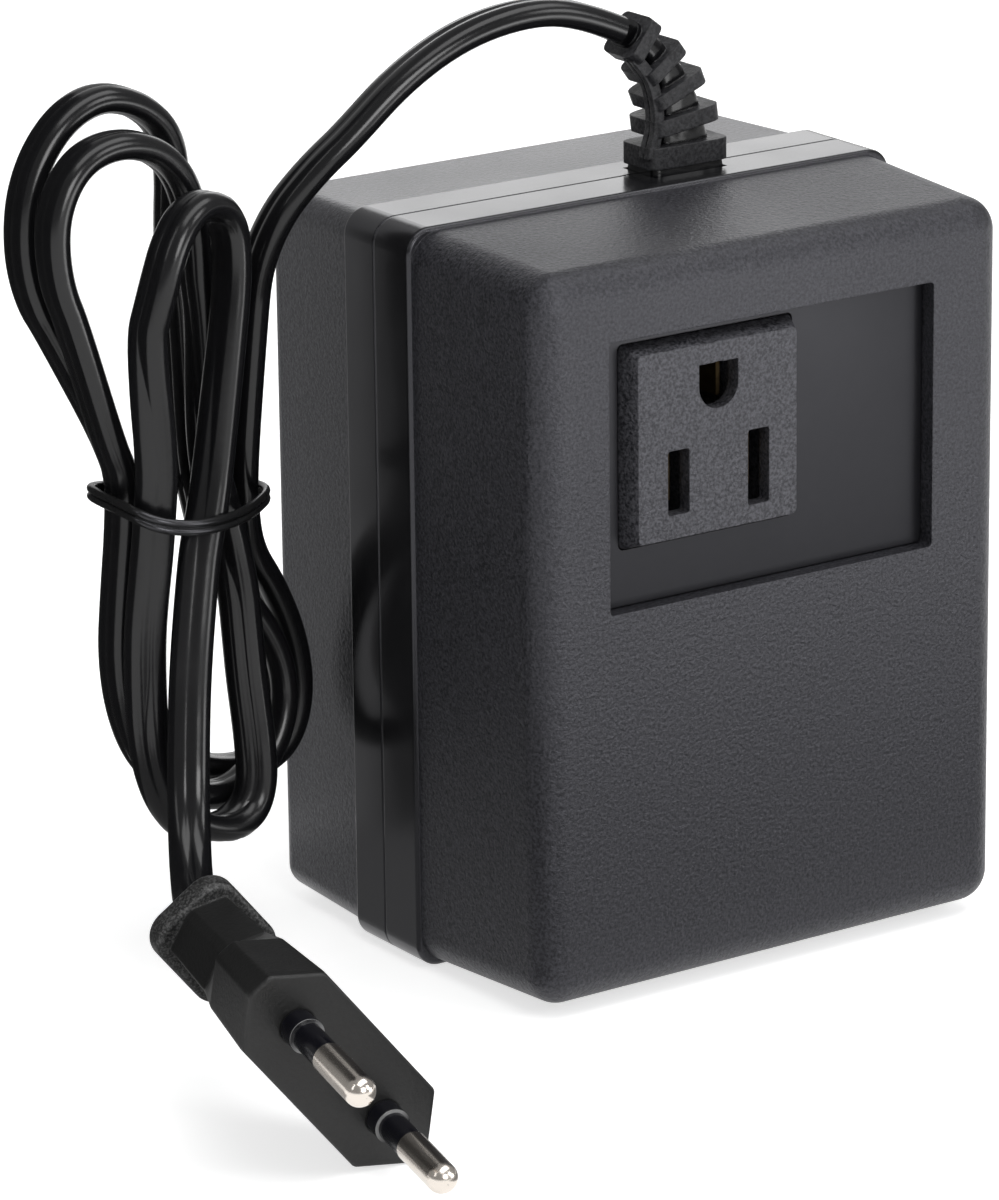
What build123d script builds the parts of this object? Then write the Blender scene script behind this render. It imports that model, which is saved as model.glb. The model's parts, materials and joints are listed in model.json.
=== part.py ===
"""Travel voltage converter: a two-shell mains case with a transformer inside, one recessed
three-hole outlet on the front and a captive two-core lead with a round-pin plug, tied in a hank.

Millimetres. The case stands on its bottom: +X is right, -Y is the outlet side, +Z is up.
The origin is under the middle of the case. Depths are counted from the back face.
"""

import os
from math import atan2, cos, dist, pi, radians, sin, tan

from build123d import *

# Overall case
case_width = 78.0
case_height = 101.0
case_depth = 63.0
outlet_proud = 0.5
total_depth = case_depth + outlet_proud
middle_z = case_height / 2
overrun = 1.0
soft_gap = 0.3
slip = 0.15

# Shells, band and parting plane
band_start = 20.7
parting = 28.0
band_end = 36.0
band_corner = 3.5
band_rim = 0.6
seam_rim = 0.25
rear_inset = 0.8
front_inset = 0.5
rear_side_draft = 0.8
rear_top_draft = 0.5
front_side_draft = 1.4
front_top_draft = 1.1
rear_corner = 3.4
front_corner = 4.5
back_edge = 2.5
front_edge = 4.0
wall = 2.5
band_wall = 2.8
hollow_corner = 1.4
tongue_height = 2.0
tongue_thickness = 1.1

# Case screws, in four posts
post_x = 30.5
post_low_z = 8.0
post_high_z = case_height - post_low_z
rear_post_diameter = 8.6
front_post_diameter = 7.4
well_diameter = 6.2
well_depth = 18.0
screw_hole = 3.3
screw_shank = 2.9
screw_length = 20.0
screw_head = 5.6
screw_head_height = 2.1
thread_gap = 0.02
driver_width = 3.2
driver_slot = 0.7
driver_depth = 1.2

# Recess with its plate and the outlet block
recess_left = -26.5
recess_width = 52.0
recess_height = 36.1
recess_to_top = 11.1
recess_bottom = case_height - recess_to_top - recess_height
recess_depth = 2.3
recess_corner = 0.6
plate_thickness = 0.5
pad_margin = 2.0
block_x = -9.8
block_rise = 21.3
block_z = recess_bottom + block_rise
block_width = 27.4
block_height = 27.0
face_size = 25.1
block_corner = 0.8
block_length = 19.5
face_wall = 2.2
live_slot_x = -6.25
neutral_slot_x = 6.45
blade_z = -5.1
slot_width = 3.4
live_slot_height = 8.6
neutral_slot_height = 10.1
slot_corner = 0.4
earth_x = 0.1
earth_z = 6.8
earth_width = 6.2
earth_height = 6.1
pocket_width = 5.4
pocket_height = 12.6
earth_pocket_width = 7.6
earth_pocket_height = 8.0
ear_span = 17.3
ear_diameter = 6.4
ear_thickness = 2.0
ear_setback = 11.0
ear_depth = case_depth - ear_setback
ear_screw_shank = 2.2
ear_screw_skin = 1.2
ear_screw_head = 4.0
ear_screw_head_height = 1.5
cover_size = 25.0
cover_thickness = 2.0

# Contacts
leaf = 0.6
blade_gap = 1.4
leaf_height = 7.0
leaf_length = 15.6
earth_gap = 4.7
earth_leaf_height = 5.2
tab_thickness = 0.8
tab_height = 4.0
tab_length = 4.0

# Transformer
tag_thickness = 0.8
tag_width = 3.0
tag_height = 3.0
tag_gap = 2.4
transformer_low_z = 7.8
transformer_high_z = block_z - cover_size / 2 - tag_height - tag_gap
core_width = 54.0
core_back = 6.0
limb = 9.0
core_room = 27.0
e_length = case_depth - core_room
core_middle_z = (transformer_low_z + transformer_high_z) / 2
core_gap = 0.05
bobbin_gap = 0.2
bobbin_wall = 1.0
flange_thickness = 1.0
flange_half_width = 17.7
flange_half_height = (transformer_high_z - transformer_low_z) / 2
flange_lip = 0.8
coil_half_width = flange_half_width - flange_lip
coil_half_height = flange_half_height - flange_lip
core_stack_margin = 8.7
core_stack = 2 * (flange_half_height - core_stack_margin)
tape_thickness = 0.3
winding_corner = 2.0
rear_tags = (-12.0, 6.0)
front_tags = (-14.0, -4.0)
rib_half_length = 22.0
rib_width = 3.0
rib_offset = 11.0

# Core strap and its screws
strap_thickness = 1.0
strap_inset = 5.5
strap_width = core_stack - 2 * strap_inset
strap_gap = 0.1
foot_end = 34.0
strap_screw_x = 31.0
boss_diameter = 6.0
boss_bore_depth = 4.2
strap_screw_length = 5.0

# Thermal fuse and hook-up wires
fuse_diameter = 3.5
fuse_length = 11.0
fuse_x = 2.0
fuse_wire = 0.8
fuse_reach = 4.0
wire_diameter = 1.6
supply_turn = 8.0
output_turn = 1.8
bend_share = 0.45

# Strain relief: ribs on a core that bends over to the left
relief_x = 9.1
relief_flange_width = 14.0
relief_flange_depth = 9.0
relief_flange_height = 2.0
relief_neck_width = 11.5
relief_neck_depth = 7.0
relief_straight = 4.5
relief_radius = 17.5
relief_turn = 62.5
rib_starts = (0.95, 5.65, 10.1, 14.4, 19.0)
rib_widths = (12.2, 10.0, 8.2, 6.4, 5.4)
rib_depths = (7.2, 7.2, 7.0, 6.8, 6.7)
rib_thicknesses = (2.5, 2.3, 2.2, 2.2, 2.6)
core_ends = (9.2, 5.0)
core_depths = (5.6, 5.0)
relief_corner = 0.8

# Lead: two layers of loops hang in one upright plane beside the case
cord_diameter = 4.6
front_layer = 10.5
back_layer = 15.9
waist_top = 70.0
waist_bottom = 62.0
feed_end_z = 78.0
strand_x = {"feed": -52.8, "up 1": -72.0, "down 1": -59.2, "up 2": -65.6,
            "down 2": -66.3, "up 3": -71.5, "tail": -59.1}
top_loops = (("up 1", "down 1", -85.0, -60.5, 119.6), ("up 2", "down 2", -79.2, -66.3, 113.4),
             ("up 3", "tail", -71.5, -55.4, 107.2))
low_loops = (("feed", "up 1", -44.0, -76.0, 20.6), ("down 1", "up 2", -50.2, -70.2, 26.6),
             ("down 2", "up 3", -66.3, -77.6, 24.0))
feed_run = 13.6
feed_corners = ((-25.8, 5.2, 127.8), (-37.9, 7.3, 122.8), (-48.1, 11.8, 111.8),
                (strand_x["feed"], back_layer, 92.8))
tail_corners = ((strand_x["tail"], front_layer, 53.8), (-62.1, 6.6, 36.0), (-73.8, 0.7, 25.9))
plug_run = 10.5
nest_leads = (0.0, 4.0, 0.0)
step_length = 1.0
near_diameters = 4
top_end_layers = (back_layer, front_layer, front_layer)
sway_rate = 2.2
sway_least = 10.0
tie_z = 66.0
tie_height = 3.4
tie_thickness = 1.3
tie_corner = 2.2

# Plug on the free end
plug_face = (-86.77, -59.4, 14.51)
pin_direction = (-0.1388, -0.983, -0.1206)
plug_long_axis = (0.6375, 0.0045, -0.7704)
plug_width = 35.3
plug_height = 13.7
plug_end_width = 24.4
plug_end_height = 3.2
plug_length = 40.0
plug_rim = 1.4
plug_edge = 0.4
plug_corner = 1.2
grip_depth = 13.5
grip_width = 31.0
grip_height = 12.2
neck_depth = 24.0
neck_width = 16.0
neck_height = 10.6
waist_width = 13.4
waist_height = 9.6
flange_width = 15.2
flange_height = 12.8
flange_length = 3.4
flange_corner = 3.6
flange_edge = 0.8
pin_spacing = 19.0
pin_tip_spacing = 17.9
pin_length = 19.0
pin_diameter = 4.0
pin_core_diameter = 3.0
pin_root = 9.0
sleeve_root = 3.0
sleeve_length = 8.4
sleeve_diameter = 3.8
collar_diameter = 4.6
collar_height = 2.8
carrier_width = 25.0
carrier_height = 6.4
carrier_thickness = 2.6
carrier_depth = 5.0


def upright_plane(depth):
    """Plane parallel to the back, seen from the front, at a depth from the back face."""
    return Plane.XZ.offset(depth - total_depth / 2)


def y_at(depth):
    """Y of a depth counted from the back face."""
    return total_depth / 2 - depth


def case_slice(start, end, half_start, half_end, corner_start, corner_end):
    """Solid between two upright rounded rectangles round the middle of the case."""
    with BuildPart() as block:
        for depth, (half_x, half_z), corner in ((start, half_start, corner_start),
                                                (end, half_end, corner_end)):
            with BuildSketch(upright_plane(depth)):
                with Locations((0, middle_z)):
                    RectangleRounded(2 * half_x, 2 * half_z, corner)
        loft(ruled=True)
    return block.part


def upright_block(x, z, width, height, start, end, corner=0.0):
    """Prism with its outline in the upright plane, from one depth to another."""
    with BuildPart() as block:
        with BuildSketch(upright_plane(start)):
            with Locations((x, z)):
                if corner > 0:
                    RectangleRounded(width, height, corner)
                else:
                    Rectangle(width, height)
        extrude(amount=end - start)
    return block.part


def upright_rods(centres, diameter, start, end):
    """Round rods along the depth."""
    with BuildPart() as rods:
        with BuildSketch(upright_plane(start)):
            with Locations(*centres):
                Circle(diameter / 2)
        extrude(amount=end - start)
    return rods.part


def tube(points, diameter):
    """Round tube along straight runs joined by tangent arcs: the solid, its radii and length."""
    runs = [Vector(*b) - Vector(*a) for a, b in zip(points, points[1:])]
    radii = []
    for before, after in zip(runs, runs[1:]):
        half_turn = before.get_angle(after) / 2
        radii.append(bend_share * min(before.length, after.length) / tan(radians(half_turn)))
    with BuildPart() as line:
        with BuildLine() as route:
            FilletPolyline(*points, radius=radii)
        with BuildSketch(Plane(origin=points[0], z_dir=runs[0])):
            Circle(diameter / 2)
        sweep()
    return line.part, radii, route.wire().length


def screws(centres, seat, head, head_height, shank, length, depth_sign=1):
    """Pan-head screws along the depth with a crossed driver recess."""
    with BuildPart() as fasteners:
        with BuildSketch(upright_plane(seat)):
            with Locations(*centres):
                Circle(shank / 2)
        extrude(amount=depth_sign * length)
        with BuildSketch(upright_plane(seat)):
            with Locations(*centres):
                Circle(head / 2)
        extrude(amount=-depth_sign * head_height)
        with BuildSketch(upright_plane(seat - depth_sign * head_height)):
            with Locations(*centres):
                Rectangle(driver_width * head / screw_head, driver_slot)
                Rectangle(driver_slot, driver_width * head / screw_head)
        extrude(amount=depth_sign * driver_depth * head / screw_head, mode=Mode.SUBTRACT)
    return fasteners.part


# Shared places
band_half = (case_width / 2, case_height / 2)
inner_half = (band_half[0] - band_wall, band_half[1] - band_wall)
post_centres = [(side * post_x, z) for side in (-1, 1) for z in (post_low_z, post_high_z)]
relief_top_z = case_height - band_wall
slot_z = relief_top_z - soft_gap + case_height / 2
slot_half_width = relief_neck_width / 2 + slip
slot_half_depth = relief_neck_depth / 2 + slip

# Rear shell: drafted tray with its half of the band, tongue, screw posts and core seats
rear_half = (band_half[0] - rear_inset, band_half[1] - rear_inset)
back_half = (rear_half[0] - rear_side_draft, rear_half[1] - rear_top_draft)
back_inner = (back_half[0] - wall, back_half[1] - wall)
tongue_half = (inner_half[0] + tongue_thickness, inner_half[1] + tongue_thickness)
strap_centres = [(side * strap_screw_x, core_middle_z) for side in (-1, 1)]
with BuildPart() as rear_shell:
    add(case_slice(0, band_start + overrun, back_half, rear_half, rear_corner, rear_corner))
    fillet(rear_shell.faces().sort_by(Axis.Y)[-1].edges(), back_edge)
with BuildPart() as rear_band:
    add(case_slice(band_start, parting, band_half, band_half, band_corner, band_corner))
    fillet(rear_band.faces().sort_by(Axis.Y)[-1].edges(), band_rim)
    fillet(rear_band.faces().sort_by(Axis.Y)[0].edges(), seam_rim)
with rear_shell:
    add(rear_band.part)
    add(case_slice(parting - overrun, parting + tongue_height, tongue_half, tongue_half,
                   hollow_corner + tongue_thickness, hollow_corner + tongue_thickness))
    add(case_slice(wall, parting, back_inner, inner_half, hollow_corner, hollow_corner),
        mode=Mode.SUBTRACT)
    add(case_slice(parting, parting + tongue_height + overrun, inner_half, inner_half,
                   hollow_corner, hollow_corner), mode=Mode.SUBTRACT)
    add(upright_rods(post_centres, rear_post_diameter, wall - overrun, parting))
    add(upright_rods(strap_centres, boss_diameter, wall - overrun, core_back))
    for side in (-1, 1):
        add(upright_block(0, core_middle_z + side * rib_offset, 2 * rib_half_length, rib_width,
                          wall - overrun, core_back))
    add(upright_rods(post_centres, well_diameter, -overrun, well_depth), mode=Mode.SUBTRACT)
    add(upright_rods(post_centres, screw_hole, well_depth - overrun, parting + overrun),
        mode=Mode.SUBTRACT)
    add(upright_rods(strap_centres, screw_shank + 2 * thread_gap, core_back - boss_bore_depth,
                     core_back + overrun), mode=Mode.SUBTRACT)
    add(upright_block(relief_x, slot_z, 2 * slot_half_width, case_height,
                      parting - slot_half_depth, parting + slot_half_depth), mode=Mode.SUBTRACT)
rear_shell.part.label = "rear_shell"

# Front shell: drafted cup with its half of the band, rebate, posts, recess and outlet hole
front_half = (band_half[0] - front_inset, band_half[1] - front_inset)
face_half = (front_half[0] - front_side_draft, front_half[1] - front_top_draft)
face_inner = (face_half[0] - wall, face_half[1] - wall)
rebate_half = (tongue_half[0] + slip, tongue_half[1] + slip)
recess_x = recess_left + recess_width / 2
recess_z = recess_bottom + recess_height / 2
plate_top = case_depth - recess_depth
recess_floor = plate_top - plate_thickness
pad_back = recess_floor - wall
ear_centres = [(block_x + side * ear_span, block_z) for side in (-1, 1)]
boss_start = ear_depth + ear_thickness
ear_screw_length = recess_floor - ear_screw_skin - ear_depth
with BuildPart() as front_shell:
    add(case_slice(band_end - overrun, case_depth, front_half, face_half, front_corner,
                   front_corner))
    fillet(front_shell.faces().sort_by(Axis.Y)[0].edges(), front_edge)
with BuildPart() as front_band:
    add(case_slice(parting, band_end, band_half, band_half, band_corner, band_corner))
    fillet(front_band.faces().sort_by(Axis.Y)[0].edges(), band_rim)
    fillet(front_band.faces().sort_by(Axis.Y)[-1].edges(), seam_rim)
with front_shell:
    add(front_band.part)
    add(case_slice(parting, case_depth - wall, inner_half, face_inner, hollow_corner,
                   hollow_corner), mode=Mode.SUBTRACT)
    add(case_slice(parting - overrun, parting, inner_half, inner_half, hollow_corner,
                   hollow_corner), mode=Mode.SUBTRACT)
    add(case_slice(parting - overrun, parting + tongue_height + slip, rebate_half, rebate_half,
                   hollow_corner + tongue_thickness, hollow_corner + tongue_thickness),
        mode=Mode.SUBTRACT)
    add(upright_block(recess_x, recess_z, recess_width + 2 * pad_margin,
                      recess_height + 2 * pad_margin, pad_back, case_depth - wall + slip))
    add(upright_rods(post_centres, front_post_diameter, parting, case_depth - wall + slip))
    add(upright_rods(ear_centres, ear_diameter, boss_start, case_depth - wall + slip))
    add(upright_block(recess_x, recess_z, recess_width, recess_height, recess_floor,
                      case_depth + overrun, recess_corner), mode=Mode.SUBTRACT)
    add(upright_block(block_x, block_z, block_width + 2 * slip, block_height + 2 * slip,
                      boss_start - overrun, case_depth, block_corner), mode=Mode.SUBTRACT)
    add(upright_rods(post_centres, screw_shank + 2 * thread_gap, parting - overrun,
                     well_depth + screw_length + overrun), mode=Mode.SUBTRACT)
    add(upright_rods(ear_centres, ear_screw_shank + 2 * thread_gap, boss_start - overrun,
                     ear_depth + ear_screw_length + slip), mode=Mode.SUBTRACT)
    add(upright_block(relief_x, slot_z, 2 * slot_half_width, case_height,
                      parting - slot_half_depth, parting + slot_half_depth), mode=Mode.SUBTRACT)
front_shell.part.label = "front_shell"

# Screws: four through the posts, two on the core strap, two on the outlet block's ears
with BuildPart() as case_screws:
    add(screws(post_centres, well_depth, screw_head, screw_head_height, screw_shank, screw_length))
case_screws.part.label = "case_screws"
strap_seat = core_back + strap_thickness
with BuildPart() as strap_screws:
    add(screws(strap_centres, strap_seat, screw_head, screw_head_height, screw_shank,
               strap_screw_length, depth_sign=-1))
strap_screws.part.label = "strap_screws"
with BuildPart() as outlet_screws:
    add(screws(ear_centres, ear_depth, ear_screw_head, ear_screw_head_height, ear_screw_shank,
               ear_screw_length))
outlet_screws.part.label = "outlet_screws"

# Rating plate: thin sheet on the recess floor with a window for the outlet block
with BuildPart() as rating_plate:
    add(upright_block(recess_x, recess_z, recess_width - 2 * slip, recess_height - 2 * slip,
                      recess_floor, plate_top, recess_corner))
    add(upright_block(block_x, block_z, block_width + 2 * slip, block_height + 2 * slip,
                      recess_floor - overrun, plate_top + overrun, block_corner),
        mode=Mode.SUBTRACT)
rating_plate.part.label = "rating_plate"

# Outlet block: square insert with bevelled sides, two blade slots and a D-shaped earth hole
block_back = case_depth + outlet_proud - block_length
pocket_end = case_depth + outlet_proud - face_wall
live_place = (block_x + live_slot_x, block_z + blade_z)
neutral_place = (block_x + neutral_slot_x, block_z + blade_z)
earth_place = (block_x + earth_x, block_z + earth_z)
with BuildPart() as outlet_block:
    add(upright_block(block_x, block_z, block_width, block_height, block_back, plate_top,
                      block_corner))
    with BuildSketch(upright_plane(plate_top)) as bevel_base:
        with Locations((block_x, block_z)):
            RectangleRounded(block_width, block_height, block_corner)
    with BuildSketch(upright_plane(case_depth + outlet_proud)) as bevel_face:
        with Locations((block_x, block_z)):
            RectangleRounded(face_size, face_size, block_corner)
    loft(ruled=True)
    add(upright_block(block_x, block_z, 2 * ear_span, ear_diameter, ear_depth, boss_start))
    add(upright_rods(ear_centres, ear_diameter, ear_depth, boss_start))
    add(upright_rods(ear_centres, ear_screw_shank + 2 * slip, ear_depth - overrun,
                     boss_start + overrun), mode=Mode.SUBTRACT)
    for place in (live_place, neutral_place):
        add(upright_block(*place, pocket_width, pocket_height, block_back - overrun, pocket_end),
            mode=Mode.SUBTRACT)
    add(upright_block(*earth_place, earth_pocket_width, earth_pocket_height,
                      block_back - overrun, pocket_end), mode=Mode.SUBTRACT)
    add(upright_block(*live_place, slot_width, live_slot_height, pocket_end - overrun,
                      case_depth + overrun, slot_corner), mode=Mode.SUBTRACT)
    add(upright_block(*neutral_place, slot_width, neutral_slot_height, pocket_end - overrun,
                      case_depth + overrun, slot_corner), mode=Mode.SUBTRACT)
    with BuildSketch(upright_plane(pocket_end - overrun)):
        with Locations((earth_place[0], earth_place[1] - earth_height / 2 + earth_width / 2)):
            Circle(earth_width / 2)
            Rectangle(earth_width, earth_height - earth_width / 2,
                      align=(Align.CENTER, Align.MIN))
    extrude(amount=face_wall + 2 * overrun, mode=Mode.SUBTRACT)
outlet_block.part.label = "outlet_block"

# Outlet cover: closes the pockets from behind, with slits for the two solder tabs
cover_back = block_back - cover_thickness
with BuildPart() as outlet_cover:
    add(upright_block(block_x, block_z, cover_size, cover_size, cover_back, block_back,
                      block_corner))
    for place in (live_place, neutral_place):
        add(upright_block(*place, tab_thickness + 2 * slip, tab_height + 2 * slip,
                          cover_back - overrun, block_back + overrun), mode=Mode.SUBTRACT)
outlet_cover.part.label = "outlet_cover"


def blade_contact(place):
    """Folded strip: a base in the pocket, two spring leaves and a solder tab behind."""
    with BuildPart() as contact:
        add(upright_block(*place, pocket_width - 2 * slip, pocket_height - 2 * slip, block_back,
                          block_back + leaf))
        for side in (-1, 1):
            add(upright_block(place[0] + side * (blade_gap + leaf) / 2, place[1], leaf,
                              leaf_height, block_back, block_back + leaf_length))
        add(upright_block(*place, tab_thickness, tab_height,
                          cover_back - tab_length, block_back + leaf))
    return contact.part


with BuildPart() as live_contact:
    add(blade_contact(live_place))
live_contact.part.label = "live_contact"
with BuildPart() as neutral_contact:
    add(blade_contact(neutral_place))
neutral_contact.part.label = "neutral_contact"
with BuildPart() as earth_contact:
    add(upright_block(*earth_place, earth_pocket_width - 2 * slip,
                      earth_pocket_height - 2 * slip, block_back, block_back + leaf))
    for side in (-1, 1):
        add(upright_block(earth_place[0] + side * (earth_gap + leaf) / 2, earth_place[1], leaf,
                          earth_leaf_height, block_back, block_back + leaf_length))
earth_contact.part.label = "earth_contact"

# Transformer core: E sheets with their yoke at the back, I sheets in front
e_front = core_back + e_length
i_front = e_front + limb
window_far = core_width / 2 - limb
with BuildPart() as core_e:
    add(upright_block(0, core_middle_z, core_width, core_stack, core_back, e_front))
    for side in (-1, 1):
        add(upright_block(side * (limb + window_far) / 2, core_middle_z, window_far - limb,
                          core_stack + 2 * overrun, core_back + limb, e_front + overrun),
            mode=Mode.SUBTRACT)
core_e.part.label = "core_e_sheets"
with BuildPart() as core_i:
    add(upright_block(0, core_middle_z, core_width, core_stack, e_front + core_gap, i_front))
core_i.part.label = "core_i_sheets"

# Bobbin: sleeve on the middle limb with two end flanges, a middle flange and solder tags' feet
sleeve_half_x = limb + bobbin_gap
sleeve_half_z = core_stack / 2 + bobbin_gap
bobbin_start = core_back + limb + bobbin_gap
bobbin_end = e_front - bobbin_gap
bobbin_middle = (bobbin_start + bobbin_end) / 2
flange_starts = (bobbin_start, bobbin_middle - flange_thickness / 2, bobbin_end - flange_thickness)
with BuildPart() as bobbin:
    add(upright_block(0, core_middle_z, 2 * (sleeve_half_x + bobbin_wall),
                      2 * (sleeve_half_z + bobbin_wall), bobbin_start, bobbin_end))
    for start in flange_starts:
        add(upright_block(0, core_middle_z, 2 * flange_half_width, 2 * flange_half_height,
                          start, start + flange_thickness))
    add(upright_block(0, core_middle_z, 2 * sleeve_half_x, 2 * sleeve_half_z,
                      bobbin_start - overrun, bobbin_end + overrun), mode=Mode.SUBTRACT)
bobbin.part.label = "bobbin"


def winding(start, end, half_x, half_z, hole_x, hole_z):
    """Block of turns or tape round the bobbin sleeve."""
    with BuildPart() as turns:
        add(upright_block(0, core_middle_z, 2 * half_x, 2 * half_z, start, end, winding_corner))
        add(upright_block(0, core_middle_z, 2 * hole_x, 2 * hole_z, start - overrun,
                          end + overrun), mode=Mode.SUBTRACT)
    return turns.part


hole_x = sleeve_half_x + bobbin_wall + core_gap
hole_z = sleeve_half_z + bobbin_wall + core_gap
primary_span = (flange_starts[0] + flange_thickness + core_gap, flange_starts[1] - core_gap)
secondary_span = (flange_starts[1] + flange_thickness + core_gap, flange_starts[2] - core_gap)
with BuildPart() as primary_winding:
    add(winding(*primary_span, coil_half_width, coil_half_height, hole_x, hole_z))
primary_winding.part.label = "primary_winding"
with BuildPart() as secondary_winding:
    add(winding(*secondary_span, coil_half_width, coil_half_height, hole_x, hole_z))
secondary_winding.part.label = "secondary_winding"
with BuildPart() as winding_tape:
    for start, end in (primary_span, secondary_span):
        add(upright_block(0, core_middle_z, 2 * (coil_half_width + tape_thickness),
                          2 * (coil_half_height + tape_thickness), start, end, winding_corner))
        add(upright_block(0, core_middle_z, 2 * (coil_half_width + core_gap / 2),
                          2 * (coil_half_height + core_gap / 2), start - core_gap / 2,
                          end + core_gap / 2, winding_corner), mode=Mode.SUBTRACT)
winding_tape.part.label = "winding_tape"

# Solder tags: two on the rear flange for the mains side, two on the front flange
flange_top = core_middle_z + flange_half_height
tag_tops = flange_top + tag_height
with BuildPart() as solder_tags:
    for start, places in ((flange_starts[0], rear_tags), (flange_starts[2], front_tags)):
        for x in places:
            add(upright_block(x, flange_top + tag_height / 2, tag_width, tag_height,
                              start + (flange_thickness - tag_thickness) / 2,
                              start + (flange_thickness + tag_thickness) / 2))
solder_tags.part.label = "solder_tags"

# Strap: folded over the I sheets and down both sides to two feet on the rear shell's bosses
strap_half = core_width / 2 + strap_gap
with BuildPart() as core_strap:
    add(upright_block(0, core_middle_z, 2 * (strap_half + strap_thickness), strap_width,
                      core_back, i_front + strap_gap + strap_thickness))
    add(upright_block(0, core_middle_z, 2 * strap_half, strap_width + 2 * overrun,
                      core_back - overrun, i_front + strap_gap), mode=Mode.SUBTRACT)
    for side in (-1, 1):
        add(upright_block(side * (strap_half + foot_end) / 2, core_middle_z,
                          foot_end - strap_half, strap_width, core_back,
                          core_back + strap_thickness))
    add(upright_rods(strap_centres, screw_shank + 2 * slip, core_back - overrun,
                     core_back + strap_thickness + overrun), mode=Mode.SUBTRACT)
core_strap.part.label = "core_strap"

# Thermal fuse on the mains winding, with one wire to a tag and one up to the lead
tape_top = core_middle_z + coil_half_height + tape_thickness
fuse_z = tape_top + fuse_diameter / 2 + core_gap
fuse_depth = (primary_span[0] + primary_span[1]) / 2
tag_front = flange_starts[0] + (flange_thickness + tag_thickness) / 2
fuse_left = fuse_x - fuse_length / 2
fuse_right = fuse_x + fuse_length / 2
fuse_run = tube([(fuse_left, y_at(fuse_depth), fuse_z), (rear_tags[0], y_at(fuse_depth), fuse_z),
                 (rear_tags[0], y_at(tag_front), fuse_z)], fuse_wire)[0]
fuse_rise = tube([(fuse_right, y_at(fuse_depth), fuse_z),
                  (fuse_right + fuse_reach, y_at(fuse_depth), fuse_z),
                  (fuse_right + fuse_reach, y_at(fuse_depth), fuse_z + fuse_reach)], fuse_wire)[0]
with BuildPart() as thermal_fuse:
    with BuildSketch(Plane.YZ.offset(fuse_left)):
        with Locations((y_at(fuse_depth), fuse_z)):
            Circle(fuse_diameter / 2)
    extrude(amount=fuse_length)
    add(fuse_run)
    add(fuse_rise)
thermal_fuse.part.label = "thermal_fuse"

# Hook-up wires: lead to tag and fuse, front tags to the outlet tabs
relief_y = y_at(parting)
relief_floor = relief_top_z - relief_flange_height - soft_gap
supply_half = wire_diameter
supply_points_tag = [(relief_x - supply_half, relief_y, relief_floor),
                     (relief_x - supply_half, relief_y, relief_floor - supply_turn),
                     (rear_tags[1], y_at(flange_starts[0] + flange_thickness / 2),
                      tag_tops + supply_turn),
                     (rear_tags[1], y_at(flange_starts[0] + flange_thickness / 2), tag_tops)]
supply_points_fuse = [(relief_x + supply_half, relief_y, relief_floor),
                      (relief_x + supply_half, relief_y, relief_floor - supply_turn),
                      (fuse_right + fuse_reach, y_at(fuse_depth), fuse_z + fuse_reach
                       + supply_turn),
                      (fuse_right + fuse_reach, y_at(fuse_depth), fuse_z + fuse_reach)]
with BuildPart() as supply_wires:
    for points in (supply_points_tag, supply_points_fuse):
        add(tube(points, wire_diameter)[0])
supply_wires.part.label = "supply_wires"
tab_bottom = block_z + blade_z - tab_height / 2
tab_middle = cover_back - tab_length / 2
with BuildPart() as output_wires:
    for tag_x, (tab_x, tab_z) in zip(front_tags, (live_place, neutral_place)):
        start_y = y_at(flange_starts[2] + flange_thickness / 2)
        add(tube([(tag_x, start_y, tag_tops), (tag_x, start_y, tag_tops + output_turn),
                  (tab_x, y_at(tab_middle), tab_bottom - output_turn),
                  (tab_x, y_at(tab_middle), tab_bottom)], wire_diameter)[0])
output_wires.part.label = "output_wires"


# Strain relief: inner flange, neck in the wall, then ribs along a bending core
def relief_frame(along):
    """Plane square to the strain relief's axis at a length above the case."""
    if along <= relief_straight:
        return Plane(origin=(relief_x, relief_y, case_height + along), x_dir=(1, 0, 0),
                     z_dir=(0, 0, 1))
    turn = (along - relief_straight) / relief_radius
    return Plane(origin=(relief_x - relief_radius * (1 - cos(turn)), relief_y,
                         case_height + relief_straight + relief_radius * sin(turn)),
                 x_dir=(cos(turn), 0, sin(turn)), z_dir=(-sin(turn), 0, cos(turn)))


relief_length = relief_straight + relief_radius * radians(relief_turn)
tip = relief_frame(relief_length)
with BuildPart() as strain_relief:
    with BuildSketch(Plane.XY.offset(relief_floor)):
        with Locations((relief_x, relief_y)):
            RectangleRounded(relief_flange_width, relief_flange_depth, relief_corner)
    extrude(amount=relief_flange_height)
    with BuildSketch(Plane.XY.offset(relief_floor)):
        with Locations((relief_x, relief_y)):
            RectangleRounded(relief_neck_width, relief_neck_depth, relief_corner)
    extrude(amount=case_height + rib_starts[0] + overrun - relief_floor)
    for index in range(len(rib_starts) + 1):
        share = index / len(rib_starts)
        along = rib_starts[0] + (relief_length - rib_starts[0]) * share
        with BuildSketch(relief_frame(along)):
            RectangleRounded(core_ends[0] + (core_ends[1] - core_ends[0]) * share,
                             core_depths[0] + (core_depths[1] - core_depths[0]) * share,
                             relief_corner)
    loft()
    for start, width, depth, thickness in zip(rib_starts, rib_widths, rib_depths,
                                              rib_thicknesses):
        with BuildSketch(relief_frame(start + thickness / 2).offset(-thickness / 2)):
            RectangleRounded(width, depth, relief_corner)
        extrude(amount=thickness)
strain_relief.part.label = "strain_relief"

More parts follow.
